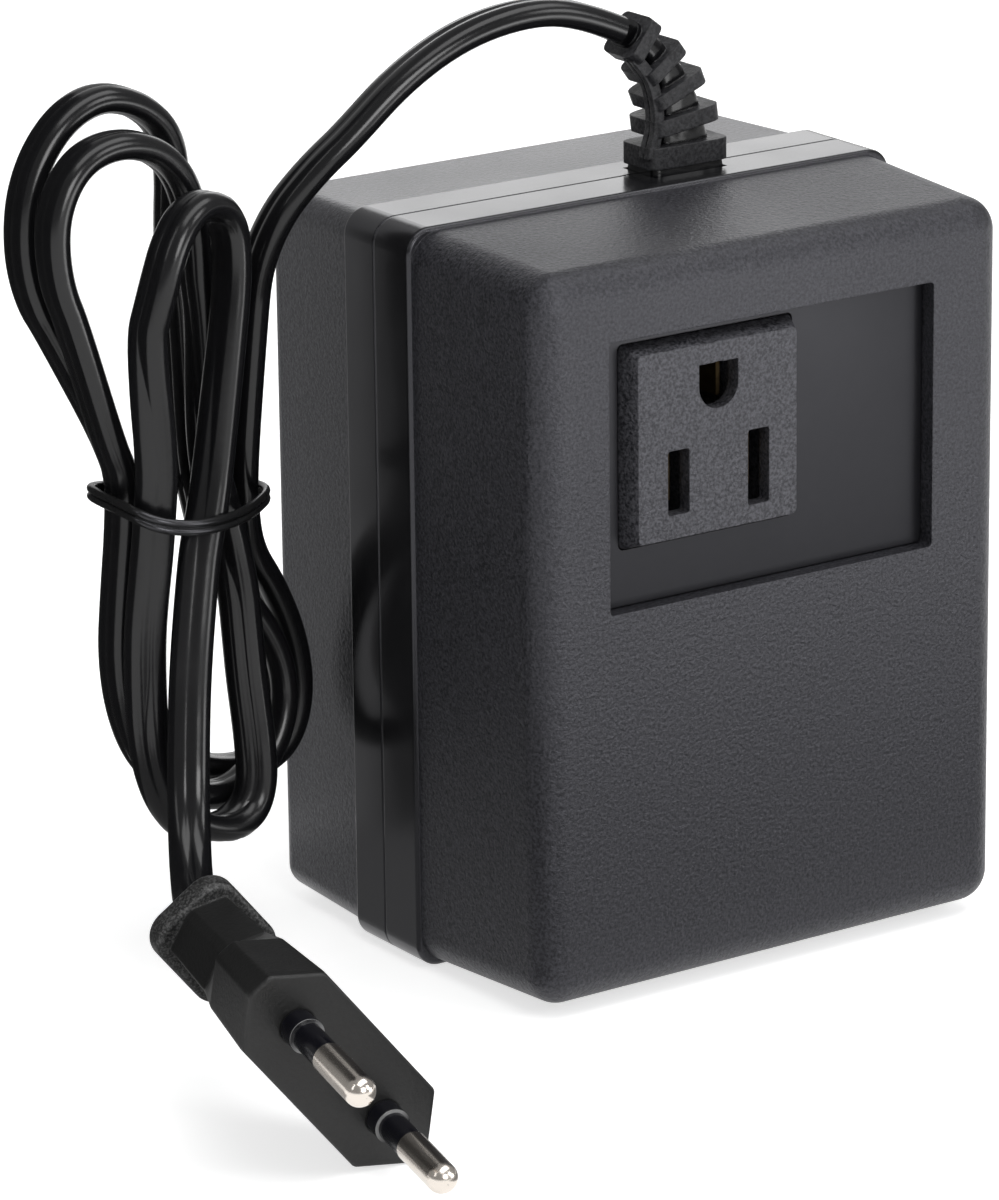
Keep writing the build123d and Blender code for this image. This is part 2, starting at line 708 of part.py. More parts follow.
# Free lead, first stretch: from the strain relief's tip over the corner and down into the hank
tip_point = (tip.origin.X, tip.origin.Y, tip.origin.Z)
first_corner = tip.origin + tip.z_dir * feed_run
feed_points = [tip_point, (first_corner.X, first_corner.Y, first_corner.Z), *feed_corners,
               (strand_x["feed"], back_layer, feed_end_z)]
feed, feed_radii, feed_length = tube(feed_points, cord_diameter)
with BuildPart() as cord_feed:
    add(feed)
cord_feed.part.label = "cord_feed"


# Hank: seven strands at the waist, three loops above it and three below, in two layers
def sway(start, end, layer, depth_end=None):
    """Two equal arcs between two upright directions, as three points each."""
    (x0, z0), (x1, z1) = start, end
    reach = dist(start, end)
    turn = atan2(abs(x1 - x0), abs(z1 - z0))
    radius = reach / (4 * sin(turn))
    side = 1 if x1 > x0 else -1
    rise = 1 if z1 > z0 else -1
    arcs = []
    for step in range(2):
        points = []
        for share in (0.0, 0.5, 1.0):
            angle = 2 * turn * share
            if step == 0:
                points.append((x0 + side * radius * (1 - cos(angle)),
                               layer, z0 + rise * radius * sin(angle)))
            else:
                rest = 2 * turn - angle
                points.append((x1 - side * radius * (1 - cos(rest)),
                               layer, z1 - rise * radius * sin(rest)))
        arcs.append(points)
    return arcs


def loop(start_x, end_x, out_x, back_x, far_z, near_z, lead, layer, end_layer):
    """Strand out of the waist, half turn at the far end and strand back, in a new layer or not."""
    rise = 1 if far_z > near_z else -1
    radius = abs(back_x - out_x) / 2
    turn_z = far_z - rise * radius
    foot_z = near_z + rise * lead
    out_z = foot_z + rise * max(sway_least, sway_rate * abs(out_x - start_x))
    back_z = foot_z + rise * max(sway_least, sway_rate * abs(end_x - back_x))
    middle = (out_x + back_x) / 2
    parts = []
    if lead > 0:
        parts.append([(start_x, layer, near_z), (start_x, layer, foot_z)])
    if out_x == start_x:
        parts.append([(out_x, layer, foot_z), (out_x, layer, out_z)])
    else:
        parts.extend(sway((start_x, foot_z), (out_x, out_z), layer))
    parts.append([(out_x, layer, out_z), (out_x, layer, turn_z)])
    parts.append([(out_x, layer, turn_z), (middle, layer, far_z), (back_x, layer, turn_z)])
    parts.append([(back_x, layer, turn_z), (back_x, end_layer, back_z)])
    if back_x == end_x:
        parts.append([(back_x, end_layer, back_z), (end_x, end_layer, foot_z)])
    else:
        parts.extend(sway((back_x, back_z), (end_x, foot_z), end_layer))
    if lead > 0:
        parts.append([(end_x, end_layer, foot_z), (end_x, end_layer, near_z)])
    return parts


hank_parts = [[(strand_x["feed"], back_layer, feed_end_z),
               (strand_x["feed"], back_layer, waist_bottom)]]
layer = back_layer
for low, top, lead, top_layer in zip(low_loops, top_loops, nest_leads, top_end_layers):
    hank_parts += loop(strand_x[low[0]], strand_x[low[1]], *low[2:], waist_bottom, lead, layer,
                       layer)
    hank_parts.append([(strand_x[low[1]], layer, waist_bottom), (strand_x[low[1]], layer,
                                                                 waist_top)])
    hank_parts += loop(strand_x[top[0]], strand_x[top[1]], *top[2:], waist_top, lead, layer,
                       top_layer)
    layer = top_layer
    hank_parts.append([(strand_x[top[1]], layer, waist_top), (strand_x[top[1]], layer,
                                                              waist_bottom)])
with BuildPart() as cord_hank:
    with BuildLine() as hank_path:
        for points in hank_parts:
            if len(points) == 2:
                Line(*points)
            else:
                ThreePointArc(*points)
    with BuildSketch(Plane(origin=hank_parts[0][0], z_dir=(0, 0, -1))):
        Circle(cord_diameter / 2)
    sweep()
cord_hank.part.label = "cord_hank"

# Least gap of the hank to itself, on points one apart along it
hank_wire = hank_path.wire()
hank_length = hank_wire.length
count = int(hank_length / step_length)
samples = [hank_wire.position_at(index / count) for index in range(count + 1)]
skip = int(near_diameters * cord_diameter / step_length)
hank_gap = min((samples[a] - samples[b]).length for a in range(count + 1)
               for b in range(a + skip, count + 1)) - cord_diameter

# Tie: flat band round the seven strands
tie_low_x = strand_x["up 1"] - cord_diameter / 2 - soft_gap
tie_high_x = strand_x["feed"] + cord_diameter / 2 + soft_gap
tie_low_y = front_layer - cord_diameter / 2 - soft_gap
tie_high_y = back_layer + cord_diameter / 2 + soft_gap
with BuildPart() as cord_tie:
    with BuildSketch(Plane.XY.offset(tie_z - tie_height / 2)):
        with Locations(((tie_low_x + tie_high_x) / 2, (tie_low_y + tie_high_y) / 2)):
            RectangleRounded(tie_high_x - tie_low_x + 2 * tie_thickness,
                             tie_high_y - tie_low_y + 2 * tie_thickness,
                             tie_corner + tie_thickness)
            RectangleRounded(tie_high_x - tie_low_x, tie_high_y - tie_low_y, tie_corner,
                             mode=Mode.SUBTRACT)
    extrude(amount=tie_height)
cord_tie.part.label = "cord_tie"

# Plug: built along its own pins, then laid in front of the case with its nose on the floor
plug_plane = Plane(origin=plug_face, x_dir=plug_long_axis, z_dir=pin_direction)
entry = plug_plane.from_local_coords((0, 0, -plug_length))
entry_point = (entry.X, entry.Y, entry.Z)


def plug_outline(width, height):
    """Long outline with straight sides, sloping shoulders and short blunt ends."""
    end_width = plug_end_width * width / plug_width
    end_height = plug_end_height * width / plug_width
    Polygon((-end_width / 2, -height / 2), (end_width / 2, -height / 2),
            (width / 2, -end_height / 2), (width / 2, end_height / 2),
            (end_width / 2, height / 2), (-end_width / 2, height / 2),
            (-width / 2, end_height / 2), (-width / 2, -end_height / 2))


def nearest_the_pins(face):
    """Sort key: how far a face lies along the pins' direction."""
    return plug_plane.to_local_coords(face.center()).Z


with BuildPart() as plug_flange:
    with BuildSketch(plug_plane.offset(-plug_length)):
        RectangleRounded(flange_width, flange_height, flange_corner)
    extrude(amount=flange_length)
    fillet(plug_flange.faces().sort_by(nearest_the_pins)[-1].edges(), flange_edge)
    fillet(plug_flange.faces().sort_by(nearest_the_pins)[0].edges(), flange_edge)
with BuildPart() as plug_body:
    with BuildSketch(plug_plane) as rim_outline:
        plug_outline(plug_width, plug_height)
        fillet(rim_outline.vertices(), plug_corner)
    extrude(amount=-plug_rim)
    fillet(plug_body.faces().sort_by(nearest_the_pins)[-1].edges(), plug_edge)
    for depth, width, height in ((plug_rim, plug_width, plug_height),
                                 (grip_depth, grip_width, grip_height),
                                 (neck_depth, neck_width, neck_height),
                                 (plug_length - flange_length + overrun, waist_width,
                                  waist_height)):
        with BuildSketch(plug_plane.offset(-depth)) as body_outline:
            plug_outline(width, height)
            fillet(body_outline.vertices(), plug_corner * width / plug_width)
    loft(ruled=True)
    add(plug_flange.part)
    with BuildSketch(plug_plane.offset(-carrier_depth)):
        RectangleRounded(carrier_width + 2 * core_gap, carrier_height + 2 * core_gap,
                         carrier_height / 2)
    extrude(amount=-carrier_thickness - 2 * core_gap, mode=Mode.SUBTRACT)


def pin_plane(side):
    """Plane at a pin's foot on the plug face; the pins lean a little towards each other."""
    lean = (pin_spacing - pin_tip_spacing) / 2
    foot = plug_plane.from_local_coords((side * pin_spacing / 2, 0, 0))
    tip_end = plug_plane.from_local_coords((side * (pin_spacing / 2 - lean), 0, pin_length))
    return Plane(origin=foot, x_dir=plug_long_axis, z_dir=tip_end - foot)


def round_bar(plane, radius, start, end):
    """Round bar along a plane's normal."""
    with BuildPart() as bar:
        with BuildSketch(plane.offset(start)):
            Circle(radius)
        extrude(amount=end - start)
    return bar.part


def pin(side):
    """Metal pin: thin core in the plug and the sleeve, full-width tip with a round end."""
    plane = pin_plane(side)
    radius = pin_diameter / 2
    with BuildPart() as metal:
        with BuildSketch(Plane(origin=plane.origin, x_dir=plane.x_dir,
                               z_dir=plane.x_dir.cross(plane.z_dir))):
            with BuildLine():
                core = pin_core_diameter / 2
                Polyline((0, -pin_root), (core, -pin_root), (core, sleeve_length),
                         (radius, sleeve_length), (radius, pin_length - radius))
                RadiusArc((radius, pin_length - radius), (0, pin_length), -radius)
                Line((0, pin_length), (0, -pin_root))
            make_face()
        revolve(axis=Axis(plane.origin, plane.z_dir))
    return metal.part


with BuildPart() as pin_sleeves:
    for side in (-1, 1):
        add(round_bar(pin_plane(side), sleeve_diameter / 2, -sleeve_root, sleeve_length))
        add(round_bar(pin_plane(side), collar_diameter / 2, -slip, collar_height))
    for side in (-1, 1):
        add(round_bar(pin_plane(side), pin_core_diameter / 2 + thread_gap, -pin_root,
                      sleeve_length + overrun), mode=Mode.SUBTRACT)
pin_sleeves.part.label = "pin_sleeves"
with BuildPart() as plug_pins:
    for side in (-1, 1):
        add(pin(side))
plug_pins.part.label = "plug_pins"
with BuildPart() as pin_carrier:
    with BuildSketch(plug_plane.offset(-carrier_depth - core_gap)):
        RectangleRounded(carrier_width, carrier_height, carrier_height / 2 - thread_gap)
    extrude(amount=-carrier_thickness)
    for side in (-1, 1):
        add(round_bar(pin_plane(side), pin_core_diameter / 2 + thread_gap, -pin_root - overrun,
                      overrun), mode=Mode.SUBTRACT)
pin_carrier.part.label = "pin_carrier"
with plug_body:
    for side in (-1, 1):
        add(round_bar(pin_plane(side), pin_core_diameter / 2 + thread_gap, -pin_root - thread_gap,
                      overrun), mode=Mode.SUBTRACT)
        add(round_bar(pin_plane(side), sleeve_diameter / 2 + thread_gap,
                      -sleeve_root - thread_gap, overrun), mode=Mode.SUBTRACT)
        add(round_bar(pin_plane(side), collar_diameter / 2 + thread_gap, -slip - thread_gap,
                      overrun), mode=Mode.SUBTRACT)
plug_body.part.label = "plug_body"

# Free lead, last stretch: out of the hank, forward and down into the plug
lead_in = plug_plane.from_local_coords((0, 0, -plug_length - plug_run))
tail_points = [(strand_x["tail"], front_layer, waist_bottom), *tail_corners,
               (lead_in.X, lead_in.Y, lead_in.Z), entry_point]
tail, tail_radii, tail_length = tube(tail_points, cord_diameter)
with BuildPart() as cord_tail:
    add(tail)
cord_tail.part.label = "cord_tail"

# Report of the lead's own measures
section = pi * cord_diameter ** 2 / 4
print("feed radii", [round(radius, 1) for radius in feed_radii], "length", round(feed_length, 1))
print("tail radii", [round(radius, 1) for radius in tail_radii], "length", round(tail_length, 1))
print("hank length", round(hank_length, 1), "least gap", round(hank_gap, 2))
for name, part, length in (("feed", cord_feed.part, feed_length),
                           ("hank", cord_hank.part, hank_length),
                           ("tail", cord_tail.part, tail_length)):
    print(name, "volume over section times length", round(part.volume / (section * length), 4))
print("lead length", round(feed_length + hank_length + tail_length, 1))
print("plug lowest", round(plug_body.part.bounding_box().min.Z, 3))
for side in (-1, 1):
    foot_plane = pin_plane(side)
    middle = foot_plane.from_local_coords((0, 0, (sleeve_length + pin_length - pin_diameter / 2) / 2))
    print("pin", side, "middle", middle, "direction", foot_plane.z_dir)

os.makedirs("parts", exist_ok=True)
for piece in (rear_shell, front_shell, case_screws, strap_screws, outlet_screws, rating_plate,
              outlet_block, outlet_cover, live_contact, neutral_contact, earth_contact, core_e,
              core_i, bobbin, primary_winding, secondary_winding, winding_tape, solder_tags,
              core_strap, thermal_fuse, supply_wires, output_wires, strain_relief, cord_feed,
              cord_hank, cord_tail, cord_tie, plug_body, plug_pins, pin_sleeves, pin_carrier):
    export_step(piece.part, "parts/" + piece.part.label + ".step")
    print(piece.part.label, round(piece.part.volume, 1), len(piece.part.solids()))
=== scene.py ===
# %% [markdown]
# # A travel voltage converter, finished in Blender
#
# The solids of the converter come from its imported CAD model, one named mesh for each real piece. This
# lesson gives them their plastics and metals, builds the pieces that need more form than a solid carries
# (the flat lead with its hank, the ribbed strain relief, the wire tie) and lights the whole on a pale
# floor. Everything is in metres, in the CAD model's own frame: +Z up, the outlet facing -Y.

import json
import math

import bmesh
import bpy
from mathutils import Matrix, Vector


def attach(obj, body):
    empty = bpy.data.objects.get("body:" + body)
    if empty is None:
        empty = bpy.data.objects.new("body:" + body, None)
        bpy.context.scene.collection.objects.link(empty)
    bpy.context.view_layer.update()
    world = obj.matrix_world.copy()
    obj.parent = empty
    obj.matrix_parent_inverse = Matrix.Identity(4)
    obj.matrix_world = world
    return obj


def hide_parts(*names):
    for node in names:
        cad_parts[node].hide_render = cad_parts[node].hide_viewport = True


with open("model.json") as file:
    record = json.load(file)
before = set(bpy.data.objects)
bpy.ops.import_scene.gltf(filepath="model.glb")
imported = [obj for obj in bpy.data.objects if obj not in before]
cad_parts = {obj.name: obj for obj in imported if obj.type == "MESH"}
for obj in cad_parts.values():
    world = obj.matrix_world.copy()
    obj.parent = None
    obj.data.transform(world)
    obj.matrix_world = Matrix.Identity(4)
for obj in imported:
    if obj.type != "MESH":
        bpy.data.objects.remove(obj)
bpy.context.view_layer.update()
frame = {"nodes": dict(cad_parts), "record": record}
nodes = frame["nodes"]
MM = 0.001
print("CAD nodes:", len(nodes))

# %% [markdown]
# The camera comes first, because the lead is checked against what it sees. Its place was worked out from
# the straight edges of the case: a long lens from the front left, looking a little down. A matrix of the
# camera's own three axes is surer than angles, because the photograph's horizon is tilted by under a
# degree and angles hide that.

# %% Camera
CAMERA_PLACE = Vector((-468.05, -658.09, 296.94)) * MM
CAMERA_RIGHT = Vector((0.825966, -0.563602, -0.011569))
CAMERA_DOWN = Vector((-0.177981, -0.241251, -0.954003))
CAMERA_LENS = 188.63

camera_data = bpy.data.cameras.new("camera")
camera_data.sensor_width = 36.0
camera_data.lens = CAMERA_LENS
camera = bpy.data.objects.new("camera", camera_data)
bpy.context.scene.collection.objects.link(camera)
camera_up = -CAMERA_DOWN
camera_back = CAMERA_RIGHT.cross(camera_up)
turn = Matrix((CAMERA_RIGHT, camera_up, camera_back)).transposed()
camera.matrix_world = Matrix.Translation(CAMERA_PLACE) @ turn.to_4x4()
bpy.context.scene.camera = camera
print("camera looks along", [round(-value, 3) for value in camera_back])

# %% [markdown]
# Node trees are written often below, so one helper adds a node, sets its plain values and links any input
# that is given a socket. That keeps each material as short as its recipe.

# %% Node helper
def add_node(tree, kind, inputs=None, **settings):
    """Adds a node; an input's value is a plain number or the socket that feeds it."""
    node = tree.nodes.new(kind)
    for name, value in settings.items():
        setattr(node, name, value)
    for name, value in (inputs or {}).items():
        socket = node.inputs[name]
        if isinstance(value, bpy.types.NodeSocket):
            tree.links.new(value, socket)
        else:
            socket.default_value = value
    return node


def add_sum(tree, operation, first, second):
    """The result of one step of arithmetic, from a Math node."""
    return add_node(tree, "ShaderNodeMath", {0: first, 1: second}, operation=operation).outputs[0]


# %% [markdown]
# The studio is a wide white floor, soft lamps and a few cards. The floor is white by its own faint glow in
# the rays that see it (camera, mirror and glass rays), not by more light, so the object keeps plain exposure
# and its soft shadow still falls.

# %% Studio
FLOOR_HALF = 4.0
FLOOR_DROP = 0.1 * MM
FLOOR_COLOUR = (0.82, 0.82, 0.82, 1.0)
FLOOR_GLOW = 0.66
WORLD_LEVEL = 0.32

world = bpy.data.worlds.new("studio")
bpy.context.scene.world = world
world.use_nodes = True
world.node_tree.nodes["Background"].inputs["Color"].default_value = (1, 1, 1, 1)
world.node_tree.nodes["Background"].inputs["Strength"].default_value = WORLD_LEVEL

bpy.context.scene.view_settings.view_transform = "Standard"


def flat_panel(name, corners):
    """A single face through four corners."""
    mesh = bpy.data.meshes.new(name)
    mesh.from_pydata([tuple(corner) for corner in corners], [], [(0, 1, 2, 3)])
    panel = bpy.data.objects.new(name, mesh)
    bpy.context.scene.collection.objects.link(panel)
    return panel


floor = flat_panel("studio_floor", [(x * FLOOR_HALF, y * FLOOR_HALF, -FLOOR_DROP)
                                    for x, y in ((-1, -1), (1, -1), (1, 1), (-1, 1))])
floor_paint = bpy.data.materials.new("studio_floor")
floor_paint.use_nodes = True
tree = floor_paint.node_tree
tree.nodes.clear()
rays = add_node(tree, "ShaderNodeLightPath")
seen = add_sum(tree, "MAXIMUM", rays.outputs["Is Camera Ray"], rays.outputs["Is Glossy Ray"])
seen = add_sum(tree, "MAXIMUM", seen, rays.outputs["Is Transmission Ray"])
glow = add_sum(tree, "MULTIPLY", seen, FLOOR_GLOW)
matt = add_node(tree, "ShaderNodeBsdfDiffuse", {"Color": FLOOR_COLOUR})
light = add_node(tree, "ShaderNodeEmission", {"Strength": glow})
both = add_node(tree, "ShaderNodeAddShader", {0: matt.outputs[0], 1: light.outputs[0]})
add_node(tree, "ShaderNodeOutputMaterial", {"Surface": both.outputs[0]})
floor.data.materials.append(floor_paint)

# %% [markdown]
# Four soft lamps: a broad one overhead, one behind to the right that the top of the case mirrors, a key
# from the front right and a narrow one at the left. Each is given by the brightness of its face, and its
# power follows from its size, so a lamp can be made larger without making the picture brighter. Two more
# are aimed at the upper left corner of the front face and only add highlights: neither the camera nor matt
# light sees them.

# %% Lamps
def soft_lamp(name, place, target, width, height, brightness):
    """An area lamp whose power gives its face that brightness."""
    data = bpy.data.lights.new(name, "AREA")
    data.shape = "RECTANGLE"
    data.size, data.size_y = width, height
    data.energy = brightness * math.pi * width * height
    lamp = bpy.data.objects.new(name, data)
    bpy.context.scene.collection.objects.link(lamp)
    lamp.location = place
    aim = Vector(target) - Vector(place)
    lamp.rotation_euler = aim.to_track_quat("-Z", "Y").to_euler()
    return lamp


SOFT_LAMPS = (  # name, place, target, width, height, brightness
    ("overhead_lamp", (0.15, -0.35, 1.15), (0, 0, 0.05), 1.5, 0.6, 3.0),
    ("back_lamp", (0.95, 1.4, 0.62), (0, 0, 0.09), 1.5, 0.7, 1.75),
    ("key_lamp", (0.75, -1.1, 0.75), (0, 0, 0.05), 0.5, 0.5, 5.0),
    ("side_lamp", (-1.0, -0.1, 0.75), (-0.05, 0, 0.06), 0.12, 0.7, 3.0),
)
UPPER_CORNER = (-0.028, -0.032, 0.088)
HIGHLIGHT_LAMPS = (
    ("sheen_lamp", (0.085, -0.21, 0.050), UPPER_CORNER, 0.10, 0.06, 4.5),
    ("corner_lamp", (-0.12, -0.62, 0.26), UPPER_CORNER, 0.25, 0.25, 8.0),
)
for row in SOFT_LAMPS:
    soft_lamp(*row)
for row in HIGHLIGHT_LAMPS:
    highlight = soft_lamp(*row)
    highlight.visible_camera = highlight.visible_diffuse = False

# %% [markdown]
# Two cards stand at the back left, and two lie on the floor, in front and at the left, where a photographer
# puts them to hold what the glossy sides mirror. Only reflections see them.

# %% Cards
def mirror_card(name, corners, level):
    """A card of one even brightness that only reflections see."""
    card = flat_panel(name, corners)
    paint = bpy.data.materials.new(name)
    paint.use_nodes = True
    paint.node_tree.nodes.clear()
    glow = add_node(paint.node_tree, "ShaderNodeEmission", {"Strength": level})
    add_node(paint.node_tree, "ShaderNodeOutputMaterial", {"Surface": glow.outputs[0]})
    card.data.materials.append(paint)
    card.visible_camera = card.visible_shadow = card.visible_diffuse = False


CARD_TOP = 0.20
STANDING_CARDS = (  # name, the two ends of its foot, level
    ("dark_card", (-0.133, 0.0), (-0.066, 0.046), 0.04),
    ("grey_card", (-0.066, 0.046), (-0.017, 0.079), 0.55),
)
LYING_CARDS = (  # name, left and right end, near and far end, level
    ("front_card", (-0.07, 0.13), (-0.13, -0.04), 0.25),
    ("side_card", (-0.133, -0.041), (-0.05, 0.05), 0.40),
)
for name, start, end, level in STANDING_CARDS:
    mirror_card(name, [(*start, 0.0), (*end, 0.0), (*end, CARD_TOP), (*start, CARD_TOP)], level)
for name, (left, right), (near, far), level in LYING_CARDS:
    mirror_card(name, [(left, near, 0.0), (right, near, 0.0), (right, far, 0.0), (left, far, 0.0)], level)

# %% [markdown]
# ## The lead
#
# A flat two-core mains lead is two insulated wires side by side in one jacket, so its section is a
# stadium with a faint groove along the middle of each broad face. It bends the easy way, over its flat
# side, and twists where it has to turn the hard way. The route is a NURBS spline through points read off
# the photograph, each at a depth that keeps the turns of the hank one in front of the other. A second
# spline with the same rhythm carries the direction of the broad side, so the twist is as smooth as the
# route.

# %% Route of the lead, in millimetres
ACROSS_DEPTH = (0, 1, 0)
ACROSS_LOOP = (-0.32, 0.95, 0)
ACROSS_TURN = (-0.6, 0.8, 0)
ACROSS_VIEW = (-0.83, 0.56, 0)
ACROSS_WIDTH = (-0.95, 0.3, 0)
ACROSS_PLUG = (-0.6375, 0.0862, 0.7656)
LEAD_ROUTE = [
    (ACROSS_DEPTH, [  # from the strain relief over the corner of the case and down to the tie
        (-0.3, 3.75, 121.0), (-6.5, 4.1, 123.9), (-14.4, 4.8, 124.9), (-23.8, 5.9, 122.9),
        (-32.3, 7.2, 118), (-39.6, 8.5, 111.1), (-42.9, 9.5, 108.2), (-45.5, 10.6, 105.3),
        (-47.7, 11.8, 102.2), (-49.4, 13.2, 98.1), (-50.2, 14.6, 93.7), (-50.2, 15.8, 88.9),
        (-51.9, 16.6, 68.5), (-51.8, 17, 61.7), (-50.7, 17.6, 55.5)]),
    (ACROSS_DEPTH, [  # outer bottom loop, right side first
        (-46.9, 18.8, 50.1), (-43.7, 19.2, 43), (-42.3, 19.4, 36.3), (-42.7, 19.4, 31.1),
        (-44.5, 19.4, 27.1), (-47.4, 19.6, 25), (-51.2, 19.7, 24.3), (-55.4, 19.7, 25),
        (-60, 19.6, 26.8), (-64.4, 19.4, 28.6), (-67.7, 19.2, 32.4), (-69.7, 19, 38),
        (-70.4, 18.8, 44.9), (-70.1, 18.6, 51.5), (-69.6, 18.4, 57.6)]),
    (ACROSS_DEPTH, [  # outer top loop, left side first, and down through the tie
        (-69.2, 18.2, 64.2), (-69.1, 18.2, 70), (-79.2, 18.2, 89.6), (-81.2, 18.2, 92.8),
        (-82.7, 18.2, 98), (-82.9, 18.2, 103.5), (-82, 18.2, 108.6), (-79.5, 18.4, 113.4),
        (-75.6, 18.6, 117.2), (-70.6, 19, 118.8), (-65.4, 19.4, 117.4), (-61.5, 19.8, 114.4),
        (-59.5, 20.1, 110.8), (-59.1, 20.2, 106.2), (-59.5, 20.1, 100.7), (-59.6, 20, 95.2),
        (-58.9, 19.6, 88.9), (-58.7, 19, 69.1), (-57.6, 18.4, 62.4), (-56.6, 17.6, 56.6)]),
    (ACROSS_DEPTH, [  # inner bottom loop, right side first
        (-53.9, 16.9, 51.1), (-50.4, 16, 46.2), (-48, 15.4, 41.1), (-47.3, 15, 35.8),
        (-48.8, 14.2, 30.7), (-52.6, 13.4, 26), (-57.4, 13.1, 23.9), (-62.5, 13, 24.6),
        (-67.4, 12.9, 27.7), (-71.2, 12.8, 32.4), (-73.5, 12.7, 39), (-74.3, 12.6, 46.5),
        (-73.8, 12.4, 53.7), (-73.2, 12.3, 59.8)]),
    (ACROSS_DEPTH, [  # inner top loop, left side first
        (-72.6, 12.2, 66.2), (-73, 12, 71.4), (-74.7, 11.7, 75), (-79.7, 11.6, 92),
        (-81.5, 11.5, 96.4), (-82.3, 11.4, 101.2), (-82.1, 11.4, 105.8), (-80.5, 11.5, 109.8),
        (-77.8, 11.8, 112.6), (-74.1, 12.2, 113.9), (-69.8, 12.6, 113.8), (-65.5, 13.1, 112),
        (-62.3, 13.4, 108.6), (-60.6, 13.6, 104.1), (-60.1, 13.6, 99.3), (-60, 13.4, 94.3),
        (-59.5, 13, 89)]),
    (ACROSS_TURN, [(-59.8, 12.4, 70.8), (-58.4, 11.6, 64.2), (-57.3, 11, 58.3)]),
    (ACROSS_VIEW, [  # front strand down, and the fold at the bottom
        (-56.5, 10.6, 52.4), (-56.3, 10.2, 46.6), (-56.2, 9.6, 40.8), (-56, 8.8, 35.4),
        (-56, 8.1, 31.2), (-56.1, 7.7, 27.1), (-57.3, 7.4, 23.8), (-60.3, 6.9, 22), (-64.1, 6.8, 22),
        (-67.8, 6.8, 23.5), (-70.5, 6.8, 26.9), (-72.2, 6.9, 31.5), (-73.1, 7, 37.1)]),
    (ACROSS_WIDTH, [  # front strand up through the tie
        (-73.2, 7, 44.1), (-73.1, 6.8, 50.7), (-72.5, 6.6, 56.4), (-71.8, 6.5, 61.7),
        (-71.4, 6.2, 67.4), (-71.1, 5.8, 73.2)]),
    (ACROSS_LOOP, [  # small top loop in front
        (-72.7, 5.2, 90), (-71.8, 4.5, 94.2), (-70.9, 4, 98), (-69.6, 3.9, 101.9),
        (-67.3, 4.4, 105.1), (-64.1, 5.5, 106.4), (-60.7, 6.6, 105.5), (-58.6, 7.2, 102.5),
        (-58.2, 7.3, 98.6), (-58.6, 7, 94.3), (-59.5, 6.6, 89.5)]),
    (ACROSS_TURN, [(-62.5, 6.1, 72), (-63.9, 5.5, 66.3)]),
    (ACROSS_VIEW, [  # tail in front of the hank, down to the plug
        (-65.7, 4.8, 61), (-67, 4, 55.3), (-68.3, 3.1, 49.3), (-69.3, 2.4, 43.1),
        (-70.3, 1.3, 37.2), (-71.2, 0.2, 31.6), (-72.6, -2.0, 26.6), (-74.6, -5.4, 22.6),
        (-77.2, -10.2, 20.2)]),
    (ACROSS_PLUG, [(-79.6, -15.2, 19.5), (-81.2, -20.1, 19.33), (-81.6, -22.9, 19.0)]),
]
route_points = [Vector(point) * MM for _, points in LEAD_ROUTE for point in points]
across_points = [Vector(across) * MM for across, points in LEAD_ROUTE for _ in points]
print("lead route points:", len(route_points))

# %% Read a smooth line from a NURBS spline
def spline_line(name, points, steps, closed=False):
    """The points of a smooth spline, open or closed, that has these control points."""
    curve = bpy.data.curves.new(name, "CURVE")
    curve.dimensions = "3D"
    curve.resolution_u = steps
    spline = curve.splines.new("NURBS")
    spline.points.add(len(points) - 1)
    for control, point in zip(spline.points, points):
        control.co = (*point, 1.0)
    spline.order_u = 3
    spline.use_cyclic_u = closed
    spline.use_endpoint_u = not closed
    holder = bpy.data.objects.new(name, curve)
    bpy.context.scene.collection.objects.link(holder)
    mesh = bpy.data.meshes.new_from_object(holder)
    line = [vertex.co.copy() for vertex in mesh.vertices]
    bpy.data.objects.remove(holder)
    bpy.data.curves.remove(curve)
    bpy.data.meshes.remove(mesh)
    return line


LEAD_STEPS = 6
SAME_PLACE = 0.02 * MM
lead_line = spline_line("lead_route", route_points, LEAD_STEPS)
lead_across = spline_line("lead_across", across_points, LEAD_STEPS)
kept = [0] + [index for index in range(1, len(lead_line))
              if (lead_line[index] - lead_line[index - 1]).length > SAME_PLACE]
lead_line = [lead_line[index] for index in kept]
lead_across = [lead_across[index] for index in kept]

# %% [markdown]
# One lofting helper makes every long piece: it joins rings of points into a skin, closes the ends, merges
# what coincides, turns all faces outwards and shades softly up to a given edge angle. A UV map keeps the
# distance along the piece and the share around it, so that marks and fine lines can follow the jacket.

# %% Loft helper
SAME_POINT = 1e-7


def finish_mesh(name, mesh_data, smooth_angle):
    """Turns a bmesh into a smooth-shaded piece that rides on the body."""
    bmesh.ops.remove_doubles(mesh_data, verts=mesh_data.verts, dist=SAME_POINT)
    bmesh.ops.recalc_face_normals(mesh_data, faces=mesh_data.faces)
    mesh = bpy.data.meshes.new(name)
    mesh_data.to_mesh(mesh)
    mesh_data.free()
    mesh.shade_smooth()
    mesh.set_sharp_from_angle(angle=smooth_angle)
    piece = bpy.data.objects.new(name, mesh)
    bpy.context.scene.collection.objects.link(piece)
    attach(piece, "root")
    return piece


